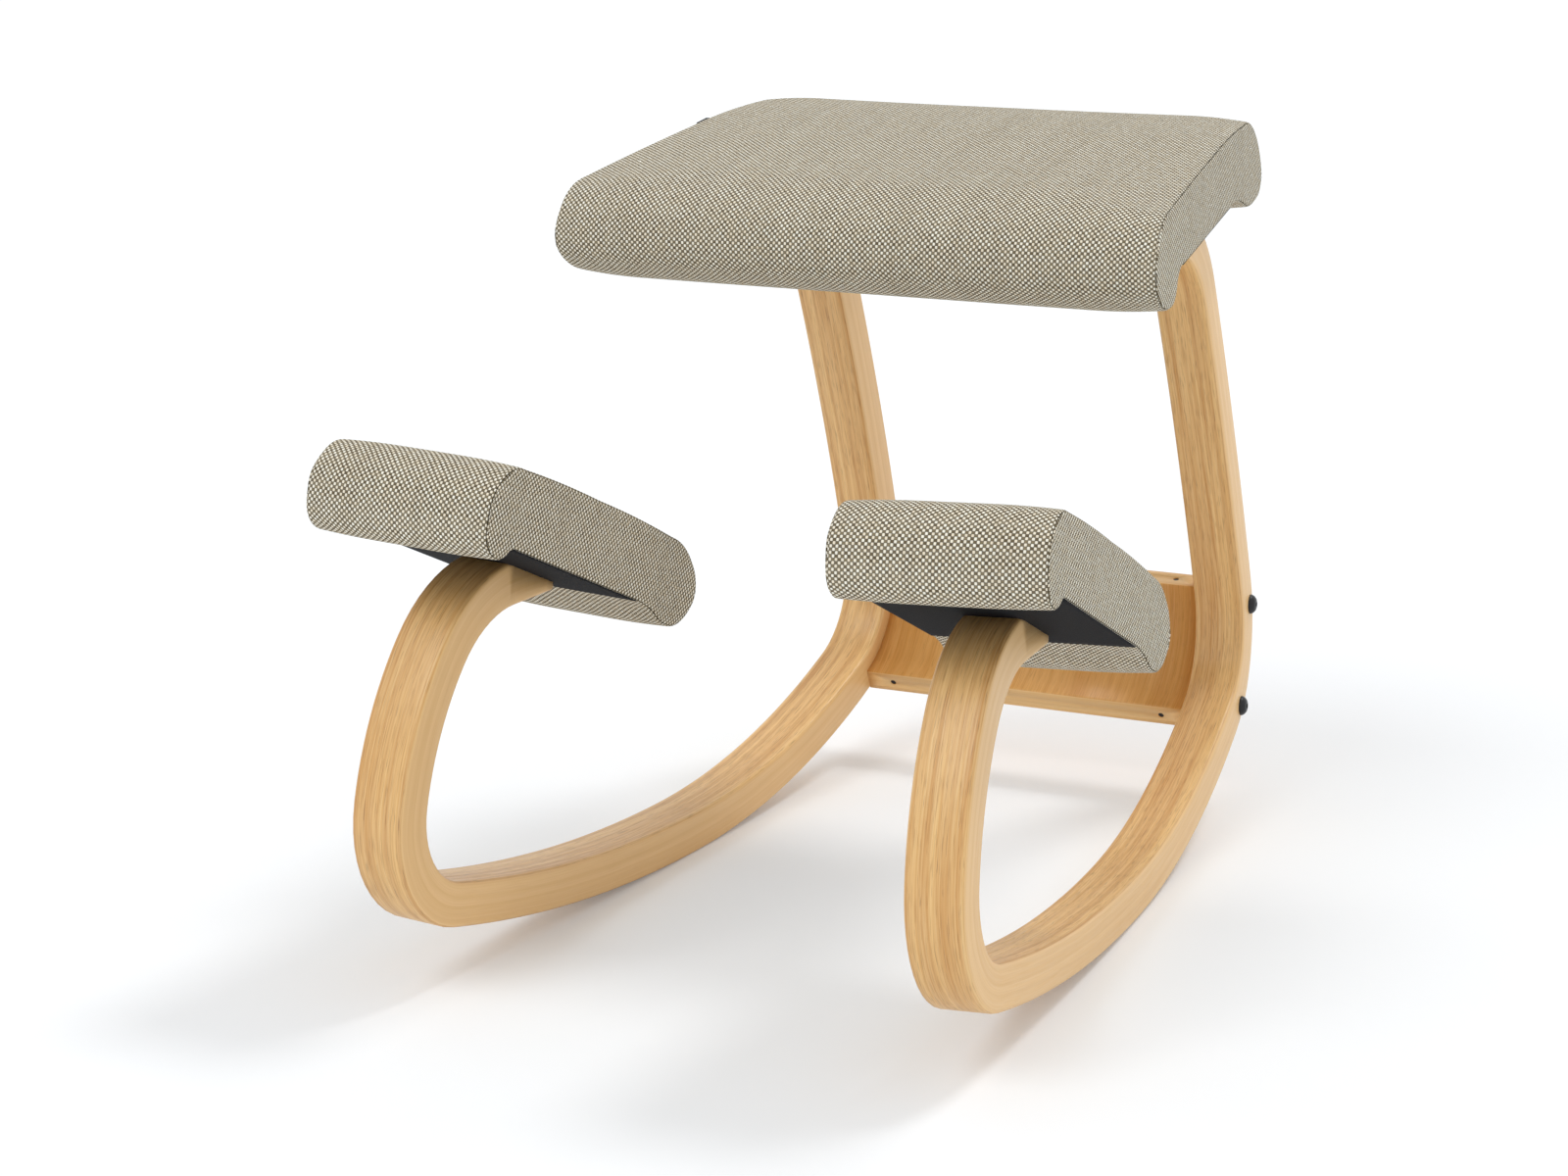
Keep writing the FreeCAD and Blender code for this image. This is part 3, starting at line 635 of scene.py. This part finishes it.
def runner_mesh():
    """Right runner: the section swept along the bends of its path."""
    bm = bmesh.new()
    along = bm.verts.layers.float.new("along")
    around = bm.verts.layers.float.new("around")
    rim = strip_section(bm, around)
    distance = 0.0
    for segment in SEGMENTS.values():
        turn, size = math.radians(segment["turn"]), segment["size"]
        length = turn * size if turn else size
        steps = max(2, round(length / RING_STEP))
        for _ in range(steps):
            grown = bmesh.ops.extrude_edge_only(bm, edges=rim)
            verts = verts_of(grown)
            rim = edges_among(grown, verts)
            if turn:
                bmesh.ops.rotate(bm, verts=verts, cent=segment["centre"],
                                 matrix=Matrix.Rotation(turn / steps, 3, "X"))
            else:
                bmesh.ops.translate(bm, verts=verts, vec=polar(length / steps, segment["heading"]))
            distance += length / steps
            for vert in verts:
                vert[along] = distance
    lay_strip_uv(bm, along, around)
    last = set(rim)
    first = [e for e in bm.edges if e.is_boundary and e not in last]
    closed_over(bm, rim)
    closed_over(bm, first)
    bmesh.ops.recalc_face_normals(bm, faces=bm.faces)
    bmesh.ops.transform(bm, matrix=RUNNER, verts=bm.verts)
    return bm


def planed(bm, matrix, reach):
    """Planes off what stands above the XY plane of matrix, within reach of its origin."""
    point = matrix.to_translation()
    near = {v for v in bm.verts if (v.co - point).length < reach}
    faces = [f for f in bm.faces if near.issuperset(f.verts)]
    geom = list({v for f in faces for v in f.verts}) + list({e for f in faces for e in f.edges}) + faces
    bmesh.ops.bisect_plane(bm, geom=geom, dist=1e-7, plane_co=point, clear_outer=True,
                           plane_no=matrix.to_3x3() @ Vector((0, 0, 1)))
    rim = [e for e in bm.edges if e.is_boundary]
    for face in bmesh.ops.holes_fill(bm, edges=rim, sides=0)["faces"]:
        face.material_index = 1


def sink(matrix, x, y, depth):
    """Rod that sinks a bolt head into a runner, up to depth below the XY plane of matrix."""
    return cylinder(SINK_R, matrix @ Vector((x, y, -depth)), matrix.to_3x3() @ Vector((0, 0, -1)), SINK_REACH)


def make_runners(wood, ends):
    """Both runners, planed for the seat and the pads, with the sinks of the bolt heads."""
    bm = runner_mesh()
    planed(bm, LANDING, PAD_PLANE_REACH)
    planed(bm, SEAT, SEAT_PLANE_REACH)
    rods, middle = [], SEAT.to_translation()
    for y in SEAT_BOLT_Y:
        spot = SEAT.inverted() @ (RUNNER @ Vector((0, middle.y + y, middle.z)))
        rods.append(sink(SEAT, spot.x, y, STRIP_T - SINK_DEPTH))
    for y in PAD_BOLT_Y:
        wood_below = NOSE_T + (PAD_LAND / 2 - y) * math.sin(math.radians(PAD_SLOPE))
        rods.append(sink(LANDING, 0, y, wood_below - SINK_DEPTH))
    bm = drilled(bm, rods)
    twin = bm.copy()
    strip = twin.loops.layers.uv["strip"]
    for face in twin.faces:
        for loop in face.loops:
            loop[strip].uv.x += TWIN_GRAIN
    shown("right_runner_strip", bm, [wood, ends], ["right_runner"])
    shown("left_runner_strip", twin, [wood, ends], ["left_runner"], MIRROR)


def panel_axis():
    """Middle of the axis that the cross panel bends round."""
    axis = RUNNER @ (SEGMENTS["rear"]["centre"] + Vector((-STRIP_W / 2, 0, 0)))
    axis.x = 0
    return axis


def panel_mesh(axis):
    """A band spun round the rear bend, cut by the inner faces of both runners."""
    bm = bmesh.new()
    ends = [bm.verts.new(axis + Vector((-HALF_SPAN, 0, 0)) + right_of(PANEL_FIRST) * radius)
            for radius in (PANEL_OUTER_R - PANEL_T, PANEL_OUTER_R)]
    edge = bm.edges.new(ends)
    bmesh.ops.spin(bm, geom=[edge, *ends], cent=axis, axis=(1, 0, 0), angle=math.radians(PANEL_TURN),
                   steps=40, use_duplicate=False)
    grown = bmesh.ops.extrude_face_region(bm, geom=list(bm.faces))
    bmesh.ops.translate(bm, verts=verts_of(grown), vec=(2 * HALF_SPAN, 0, 0))
    bmesh.ops.recalc_face_normals(bm, faces=bm.faces)
    corners = [e for e in bm.edges if abs(e.verts[0].co.x - e.verts[1].co.x) > HALF_SPAN
               and e.calc_face_angle() > math.radians(60)]
    bmesh.ops.bevel(bm, geom=corners, offset=PANEL_ROUND, segments=3, profile=0.5, affect="EDGES",
                    material=-1)
    lay_panel_uv(bm, axis)
    for matrix in (RUNNER, MIRROR @ RUNNER):
        geom = bm.verts[:] + bm.edges[:] + bm.faces[:]
        cut = bmesh.ops.bisect_plane(bm, geom=geom, dist=1e-6, clear_outer=True,
                                     plane_co=matrix @ Vector((-STRIP_W / 2, 0, 0)),
                                     plane_no=matrix.to_3x3() @ Vector((1, 0, 0)))
        closed_over(bm, [e for e in cut["geom_cut"] if isinstance(e, bmesh.types.BMEdge)])
    return bm


def lay_panel_uv(bm, axis):
    """Unwraps the panel round its bend, and marks its long edges as plies."""
    strip = bm.loops.layers.uv.new("strip")
    for face in bm.faces:
        middle = face.calc_center_median() - axis
        tangent = Vector((0, -middle.z, middle.y)).normalized()
        on_edge = abs(face.normal.dot(tangent)) > 0.8
        face.material_index = 1 if on_edge else 0
        for loop in face.loops:
            spoke = loop.vert.co - axis
            turn = math.atan2(spoke.z, spoke.y) * PANEL_MID_R
            radius = math.hypot(spoke.y, spoke.z)
            loop[strip].uv = (radius if on_edge else turn, loop.vert.co.x)


def make_panel(wood, edge_wood, pin_steel_as_bore_shade):
    """Curved cross panel with the bores in its long edges, and the lock pins in them."""
    axis = panel_axis()
    rods, pins = [], []
    for heading, edge_heading in zip(BOLT_HEADINGS, (PANEL_FIRST, PANEL_LAST)):
        target = rear_point(heading, PANEL_MID_R, -STRIP_W / 2) - ACROSS * PIN_INSET
        mouth = Vector((target.x, axis.y, axis.z)) + right_of(edge_heading) * PANEL_MID_R
        way = (target - mouth).normalized()
        base = mouth - way * BORE_OVER
        for flip in (Matrix.Identity(3), MIRROR.to_3x3()):
            start, direction = flip @ base, flip @ way
            rods.append(cylinder(PIN_BORE, start, direction, BORE_LENGTH, 24))
            # Painted shade: each black pin starts just inside its bore's mouth, so that its dark end stands
            # in for the shade deep in the bore.
            pins.append(cylinder(PIN_BORE - PIN_PLAY, start + direction * (BORE_OVER + PIN_BELOW),
                                 direction, PIN_LENGTH, 24))
    shown("cross_panel_board", drilled(panel_mesh(axis), rods), [wood, edge_wood], ["cross_panel"])
    sharpened(shown("lock_pin_set", joined(pins), [pin_steel_as_bore_shade], ["lock_pins"]), 40)


def bolt_mesh():
    """Button head with a hex socket, and its shank, along Z from the face that the head sits on."""
    bm = bmesh.new()
    verts = [bm.verts.new((radius, 0, z)) for radius, z in BOLT_OUTLINE]
    for a, b in zip(verts, verts[1:]):
        bm.edges.new((a, b))
    bmesh.ops.spin(bm, geom=bm.verts[:] + bm.edges[:], cent=(0, 0, 0), axis=(0, 0, 1), angle=math.tau,
                   steps=48, use_merge=True, use_duplicate=False)
    bmesh.ops.remove_doubles(bm, verts=bm.verts, dist=1e-6)
    grown = bmesh.ops.extrude_edge_only(bm, edges=[e for e in bm.edges if e.is_boundary])
    rim = verts_of(grown)
    for vert in rim:
        angle = math.atan2(vert.co.y, vert.co.x)
        reach = SOCKET_HALF_W / math.cos(angle % (math.pi / 3) - math.pi / 6)
        vert.co.x, vert.co.y = reach * math.cos(angle), reach * math.sin(angle)
    grown = bmesh.ops.extrude_edge_only(bm, edges=edges_among(grown, rim))
    bottom = verts_of(grown)
    bmesh.ops.translate(bm, verts=bottom, vec=(0, 0, -SOCKET_DEPTH))
    bmesh.ops.contextual_create(bm, geom=edges_among(grown, bottom))
    return bm


def make_bolts(steel):
    """The frame bolts, two through the outer face of each runner."""
    bolts = []
    turn = ACROSS.to_track_quat("Z", "Y").to_matrix().to_4x4()
    for heading in BOLT_HEADINGS:
        place = Matrix.Translation(rear_point(heading, PANEL_MID_R, STRIP_W / 2)) @ turn
        for matrix in (place, MIRROR @ place):
            bm = bolt_mesh()
            bmesh.ops.transform(bm, matrix=matrix, verts=bm.verts)
            bolts.append(bm)
    sharpened(shown("frame_bolt_set", joined(bolts), [steel], ["frame_bolts"]), 38)


# Cushions

def arc_points(start, via, end, step):
    """Points along the arc through three points of a plane, without the last."""
    (ax, ay), (bx, by), (cx, cy) = start, via, end
    d = 2 * (ax * (by - cy) + bx * (cy - ay) + cx * (ay - by))
    a2, b2, c2 = ax * ax + ay * ay, bx * bx + by * by, cx * cx + cy * cy
    x = (a2 * (by - cy) + b2 * (cy - ay) + c2 * (ay - by)) / d
    y = (a2 * (cx - bx) + b2 * (ax - cx) + c2 * (bx - ax)) / d
    radius = math.hypot(ax - x, ay - y)
    first, last = math.atan2(ay - y, ax - x), math.atan2(cy - y, cx - x)
    middle = math.atan2(by - y, bx - x)
    turn = (last - first) % math.tau
    if (middle - first) % math.tau > turn:
        turn -= math.tau
    count = max(3, round(abs(turn) * radius / step))
    angles = [first + turn * i / count for i in range(count)]
    return [(x + radius * math.cos(angle), y + radius * math.sin(angle)) for angle in angles]


def outline_of(rows):
    """Dense closed outline of a section in metres, from the lower front corner over the top."""
    points = []
    for (start, _), (end, via) in zip(rows, rows[1:]):
        points += arc_points(start, via, end, 1.0)
    first, last = rows[0][0], rows[-1][0]
    count = round(math.dist(first, last))
    points += [(last[0] + (first[0] - last[0]) * i / count, last[1] + (first[1] - last[1]) * i / count)
               for i in range(count)]
    return [Vector((0, y / 1000, z / 1000)) for y, z in points]


def flat_of(rows):
    """Front and back end of a section's flat underside, in metres."""
    return rows[0][0][0] / 1000, rows[-1][0][0] / 1000


def evenly(points, count):
    """count + 1 points evenly spaced along a line of points."""
    lengths = [0.0]
    for a, b in zip(points, points[1:]):
        lengths.append(lengths[-1] + (b - a).length)
    made, i = [], 0
    for k in range(count + 1):
        target = lengths[-1] * k / count
        while i < len(points) - 2 and lengths[i + 1] < target:
            i += 1
        share = (target - lengths[i]) / (lengths[i + 1] - lengths[i])
        made.append(points[i].lerp(points[i + 1], min(share, 1.0)))
    return made


def ring_of(rows, step):
    """Ring of points over the top from the front tip to the rear tip and back along the lower side."""
    dense = outline_of(rows)
    front = min(range(len(dense)), key=lambda i: dense[i].y)
    rear = max(range(len(dense)), key=lambda i: dense[i].y)
    upper = dense[front:rear + 1]
    lower = dense[rear:] + dense[:front + 1]
    count = round(sum((b - a).length for a, b in zip(upper, upper[1:])) / step)
    return evenly(upper, count)[:-1] + evenly(lower, count)[:-1], count


def inward(ring, flat):
    """Way in from each point of a ring, fading to nothing on the flat underside."""
    front, back = flat
    made = []
    for i, point in enumerate(ring):
        way = ring[(i + 1) % len(ring)] - ring[i - 1]
        normal = Vector((0, way.z, -way.y)).normalized()
        if point.z < FLAT_HEIGHT:
            normal *= min(max(front - point.y, point.y - back, 0.0) / FLAT_FADE, 1.0)
        made.append(normal)
    return made


def stations_of(half_w, step):
    """Places of a cushion's rings across it, from -1 to 1, closer together at its ends."""
    depths = list(END_RINGS)
    while depths[-1] + step < half_w:
        depths.append(depths[-1] + step)
    left = [depth / half_w - 1 for depth in depths]
    return [*left, 0.0, *[-share for share in reversed(left)]]


def cushion_mesh(rows, half_w, taper, crown, step):
    """Closed cushion in its own frame. Its faces carry a part: 0 main, 1 left end, 2 right end.
    Its vertices carry the distance round the section, whose full length is returned too."""
    ring, half_count = ring_of(rows, step)
    flat = flat_of(rows)
    normals = inward(ring, flat)
    bm = bmesh.new()
    part = bm.faces.layers.int.new("part")
    arc = bm.verts.layers.float.new("arc")
    verts = [bm.verts.new(p) for p in ring]
    steps = [(b - a).length for a, b in zip(ring, ring[1:] + ring[:1])]
    whole = sum(steps)
    # The distance starts in the middle of the flat underside, where the weave's join is hidden.
    middle = min(range(len(ring)), key=lambda i: abs(ring[i].y - sum(flat) / 2) + abs(ring[i].z))
    for i, vert in enumerate(verts):
        vert[arc] = (sum(steps[:i]) - sum(steps[:middle])) % whole
    edges = [bm.edges.new((a, b)) for a, b in zip(verts, verts[1:] + verts[:1])]

    def settle(vertices, share):
        """Moves a ring to its station, turned with the taper and drawn in near the ends."""
        depth = (1 - abs(share)) * half_w
        inset = crown * (1 - min(depth / CROWN_REACH, 1.0)) ** 2
        turn = Matrix.Rotation(math.radians(share * taper), 3, "Z")
        for vert, point, normal in zip(vertices, ring, normals):
            vert.co = turn @ (point + normal * inset) + Vector((share * half_w, 0, 0))

    stations = stations_of(half_w, step)
    settle(verts, stations[0])
    first = list(verts)
    for share in stations[1:]:
        fresh = set(verts_of(bmesh.ops.extrude_edge_only(bm, edges=edges)))
        verts = [next(e.other_vert(v) for e in v.link_edges if e.other_vert(v) in fresh) for v in verts]
        edges = [bm.edges.get((a, b)) for a, b in zip(verts, verts[1:] + verts[:1])]
        settle(verts, share)
    # Each end is closed by strips between its upper and its lower side, and then divided.
    cross = []
    for number, rim in ((1, first), (2, verts)):
        upper = rim[:half_count + 1]
        lower = [rim[0]] + rim[:half_count - 1:-1]
        for i in range(half_count):
            corners = dict.fromkeys([upper[i], upper[i + 1], lower[i + 1], lower[i]])
            bm.faces.new(list(corners))[part] = number
            if i > 0:
                cross.append(bm.edges.get((upper[i], lower[i])))
    bmesh.ops.subdivide_edges(bm, edges=cross, cuts=7, use_grid_fill=True)
    bmesh.ops.recalc_face_normals(bm, faces=bm.faces)
    return bm, whole


def lay_weave_uv(bm, whole):
    """Unwraps the cloth: across and round the section on the main part, flat on the ends."""
    weave = bm.loops.layers.uv.new("weave")
    part, arc = bm.faces.layers.int["part"], bm.verts.layers.float["arc"]
    for face in bm.faces:
        for loop, place in zip(face.loops, unwrapped(face.loops, arc, whole)):
            x, y, z = loop.vert.co
            loop[weave].uv = (y, z) if face[part] else (x, place)


def on_seam(vert, part):
    return len({face[part] for face in vert.link_faces}) > 1


def puffed(bm, cap, frames=20):
    """Fills the cushion with air as cloth, held at its seams and underside, moving no point past cap."""
    part = bm.faces.layers.int["part"]
    held = [v.index for v in bm.verts if abs(v.co.z) < 0.0008 or on_seam(v, part)]
    piece = object_of("puff", bm.copy())
    piece.vertex_groups.new(name="held").add(held, 1.0, "REPLACE")
    cloth = piece.modifiers.new("Cloth", "CLOTH")
    settings = cloth.settings
    settings.quality = 6
    settings.mass = 0.3
    settings.tension_stiffness = settings.compression_stiffness = 40
    settings.shear_stiffness = 20
    settings.bending_stiffness = 2.0
    settings.use_pressure = True
    settings.uniform_pressure_force = 4.0
    settings.vertex_group_mass = "held"
    settings.effector_weights.gravity = 0.0
    cloth.point_cache.frame_start, cloth.point_cache.frame_end = 1, frames
    scene = bpy.context.scene
    for number in range(1, frames + 1):
        scene.frame_set(number)
    swollen = piece.evaluated_get(bpy.context.evaluated_depsgraph_get())
    for vert, after in zip(bm.verts, swollen.to_mesh().vertices):
        move = after.co - vert.co
        if move.length > cap:
            move *= cap / move.length
        vert.co += move
    swollen.to_mesh_clear()
    mesh = piece.data
    bpy.data.objects.remove(piece)
    bpy.data.meshes.remove(mesh)
    scene.frame_set(1)


def sew_seams(bm):
    """Draws the rims between the parts in, so that they read as plain seams."""
    part = bm.faces.layers.int["part"]
    for number in (1, 2):
        end = [f for f in bm.faces if f[part] == number]
        bmesh.ops.inset_region(bm, faces=end, thickness=SEAM_WIDTH, use_even_offset=True)
    bm.normal_update()
    moves = [(v, v.normal * SEAM_DEPTH) for v in bm.verts if on_seam(v, part)]
    for vert, move in moves:
        vert.co -= move


def only(bm, number):
    """A copy that keeps one part of a cushion."""
    kept = bm.copy()
    part = kept.faces.layers.int["part"]
    bmesh.ops.delete(kept, geom=[f for f in kept.faces if f[part] != number], context="FACES")
    return kept


def make_cushion(shape, crown, step, cap, parts, places, cloth):
    """Puffs one cushion, and shows its cover and its two ends at each place.
    parts gives their names and nodes, which take each place's prefix."""
    bm, whole = cushion_mesh(*shape, crown, step)
    lay_weave_uv(bm, whole)
    puffed(bm, cap)
    sew_seams(bm)
    for prefix, matrix in places:
        for number, (name, nodes) in enumerate(parts):
            piece = shown(prefix + name, only(bm, number), [cloth], [prefix + node for node in nodes],
                          matrix)
            skin = piece.modifiers.new("thickness", "SOLIDIFY")
            skin.thickness, skin.offset = COVER_T, -1.0
            smooth = piece.modifiers.new("smooth", "SUBSURF")
            smooth.levels = smooth.render_levels = 1
    bm.free()


def bottom_sheet(cushion, shape, matrix, material):
    """Thin black sheet that is stretched over the folded rim of a cover."""
    rows, half_w, taper = shape
    front, back = flat_of(rows)
    front, back = front + SHEET_MARGIN, back - SHEET_MARGIN
    slope = math.tan(math.radians(taper))

    def reach(y):
        return half_w - y * slope - SHEET_MARGIN

    bm = bmesh.new()
    bmesh.ops.create_grid(bm, x_segments=40, y_segments=16, size=0.5)
    for vert in bm.verts:
        x, y, _ = vert.co
        rim = min(1 - abs(x * 2), 1 - abs(y * 2))
        y = front + (y + 0.5) * (back - front)
        vert.co = Vector((x * 2 * reach(y), y, -SHEET_DROP - SHEET_SAG * min(rim * 6, 1.0)))
    grown = bmesh.ops.extrude_face_region(bm, geom=list(bm.faces))
    bmesh.ops.translate(bm, verts=verts_of(grown), vec=(0, 0, SHEET_T))
    sheet = shown(cushion + "_bottom_sheet", bm, [material], [cushion + "_bottom_cloth"],
                  matrix)
    widths, length = (2 * reach(front), 2 * reach(back)), back - front
    cushion + "_plate"
    length * sum(widths) / 2


def make_tag(material):
    """Small folded ribbon loop in the left seam of the seat."""
    low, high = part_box("seat_tag")
    middle = SEAT.inverted() @ ((low + high) / 2)
    upper = [(0.003, 0.0005), (-TAG_LENGTH / 2, 0.0007), (-TAG_LENGTH + 0.0008, 0.0008)]
    lower = [(x, -z) for x, z in reversed(upper)]
    bm = bmesh.new()
    verts = [bm.verts.new((x, -TAG_W / 2, z)) for x, z in [*upper, (-TAG_LENGTH, 0.0), *lower]]
    edges = [bm.edges.new((a, b)) for a, b in zip(verts, verts[1:])]
    grown = bmesh.ops.extrude_edge_only(bm, edges=edges)
    bmesh.ops.translate(bm, verts=verts_of(grown), vec=(0, TAG_W, 0))
    bmesh.ops.solidify(bm, geom=list(bm.faces), thickness=TAG_T)
    seam = -(SEAT_HALF_W - middle.y * math.tan(math.radians(SEAT_TAPER)))
    place = SEAT @ Matrix.Translation((seam, middle.y + TAG_BACK, middle.z))
    shown("seat_loop_tag", bm, [material], ["seat_tag"], place)


# Build

black = black_steel()
make_runners(runner_wood(), end_wood())
make_panel(panel_wood(), panel_edge_wood(), black)
make_bolts(black)

weave, dark_sheet = woven_cloth(), underside_cloth()
PADS = [("right_", PAD), ("left_", MIRROR @ PAD)]
make_cushion(SEAT_SHAPE, SEAT_CROWN, SEAT_STEP, SEAT_CAP, [
    ("seat_cover_cloth", ["seat_cover", "seat_foam"]),
    ("seat_left_end_cloth", ["seat_left_panel"]),
    ("seat_right_end_cloth", ["seat_right_panel"])], [("", SEAT)], weave)
make_cushion(PAD_SHAPE, PAD_CROWN, PAD_STEP, PAD_CAP, [
    ("knee_cover_cloth", ["knee_cover", "knee_foam"]),
    ("knee_inner_end_cloth", ["knee_inner_panel"]),
    ("knee_outer_end_cloth", ["knee_outer_panel"])], PADS, weave)
bottom_sheet("seat", SEAT_SHAPE, SEAT, dark_sheet)
for prefix, matrix in PADS:
    bottom_sheet(prefix + "knee", PAD_SHAPE, matrix, dark_sheet)
make_tag(tag_cloth())

# What lies inside keeps its CAD form: the plates, and the bolts and nuts.
steel, ply = zinc_steel(), raw_ply()
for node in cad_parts.values():
    if not node.hide_render:
        node.data.materials.clear()
        node.data.materials.append(ply if node.name.endswith("plate") else steel)

# Studio: a white floor that keeps the shadow, and a sky that looks white but lights less

FLOOR_HALF_W, FLOOR_COLOUR = 30.0, (0.95, 0.975, 1.0, 1.0)
GLOW, GLOW_SHARE = 1.25, 0.10
SKY_LIGHT = 0.70

floor_finish = Finish("studio_floor")
lit = floor_finish.node("ShaderNodeBsdfDiffuse", None, FLOOR_COLOUR)
glow = floor_finish.node("ShaderNodeEmission", None, WHITE, GLOW)
to_camera = floor_finish.node("ShaderNodeLightPath", out="Is Camera Ray")
floor_finish.show_as("Material Output", "Principled BSDF", floor_finish.node(
    "ShaderNodeMixShader", None, to_camera * GLOW_SHARE, lit, glow))
bm = bmesh.new()
bmesh.ops.create_grid(bm, x_segments=1, y_segments=1, size=FLOOR_HALF_W)
floor = object_of("floor", bm)
floor.data.materials.append(floor_finish.material)

world = bpy.data.worlds.new("studio")
world.use_nodes = True
sky = Tree(world.node_tree)
to_camera = sky.node("ShaderNodeLightPath", out="Is Camera Ray")
to_gloss = sky.node("ShaderNodeLightPath", out="Is Glossy Ray")
lighting = sky.node("ShaderNodeBackground", None, WHITE, SKY_LIGHT)
backdrop = sky.node("ShaderNodeBackground", None, WHITE, 1.0)
sky.show_as("World Output", "Background", sky.node(
    "ShaderNodeMixShader", None, to_camera.most(to_gloss), lighting, backdrop))
bpy.context.scene.world = world


def sun(name, towards, share, spread):
    """Far lamp that lights the white floor by share. towards points from the chair to the lamp."""
    light = bpy.data.lights.new(name, "SUN")
    way = Vector(towards).normalized()
    light.energy, light.angle = math.pi * share / way.z, math.radians(spread)
    lamp = bpy.data.objects.new(name, light)
    lamp.rotation_euler = way.to_track_quat("Z", "Y").to_euler()
    bpy.context.scene.collection.objects.link(lamp)


sun("key", (0.30, 0.40, 1.0), 0.20, 14)
sun("front", (-0.30, -0.80, 1.0), 0.17, 28)

# Camera at the photograph's place, from a focal length and a centre in its pixels
PHOTO_W, PHOTO_H = 1600, 1200
FOCAL, CENTRE = 3421.6, (833.3, 601.2)
camera_data = bpy.data.cameras.new("camera")
camera_data.sensor_width = 36.0
camera_data.lens = FOCAL / PHOTO_W * 36.0
camera_data.shift_x = -(CENTRE[0] - PHOTO_W / 2) / PHOTO_W
camera_data.shift_y = (CENTRE[1] - PHOTO_H / 2) / PHOTO_W
camera_data.clip_end = 200
camera = bpy.data.objects.new("camera", camera_data)
camera.location = (0.9417, -2.1568, 0.8223)
camera.rotation_euler = (math.radians(90 - 14.12), 0, math.radians(24.62))
bpy.context.scene.collection.objects.link(camera)
bpy.context.scene.camera = camera
bpy.context.scene.view_settings.view_transform = "Standard"
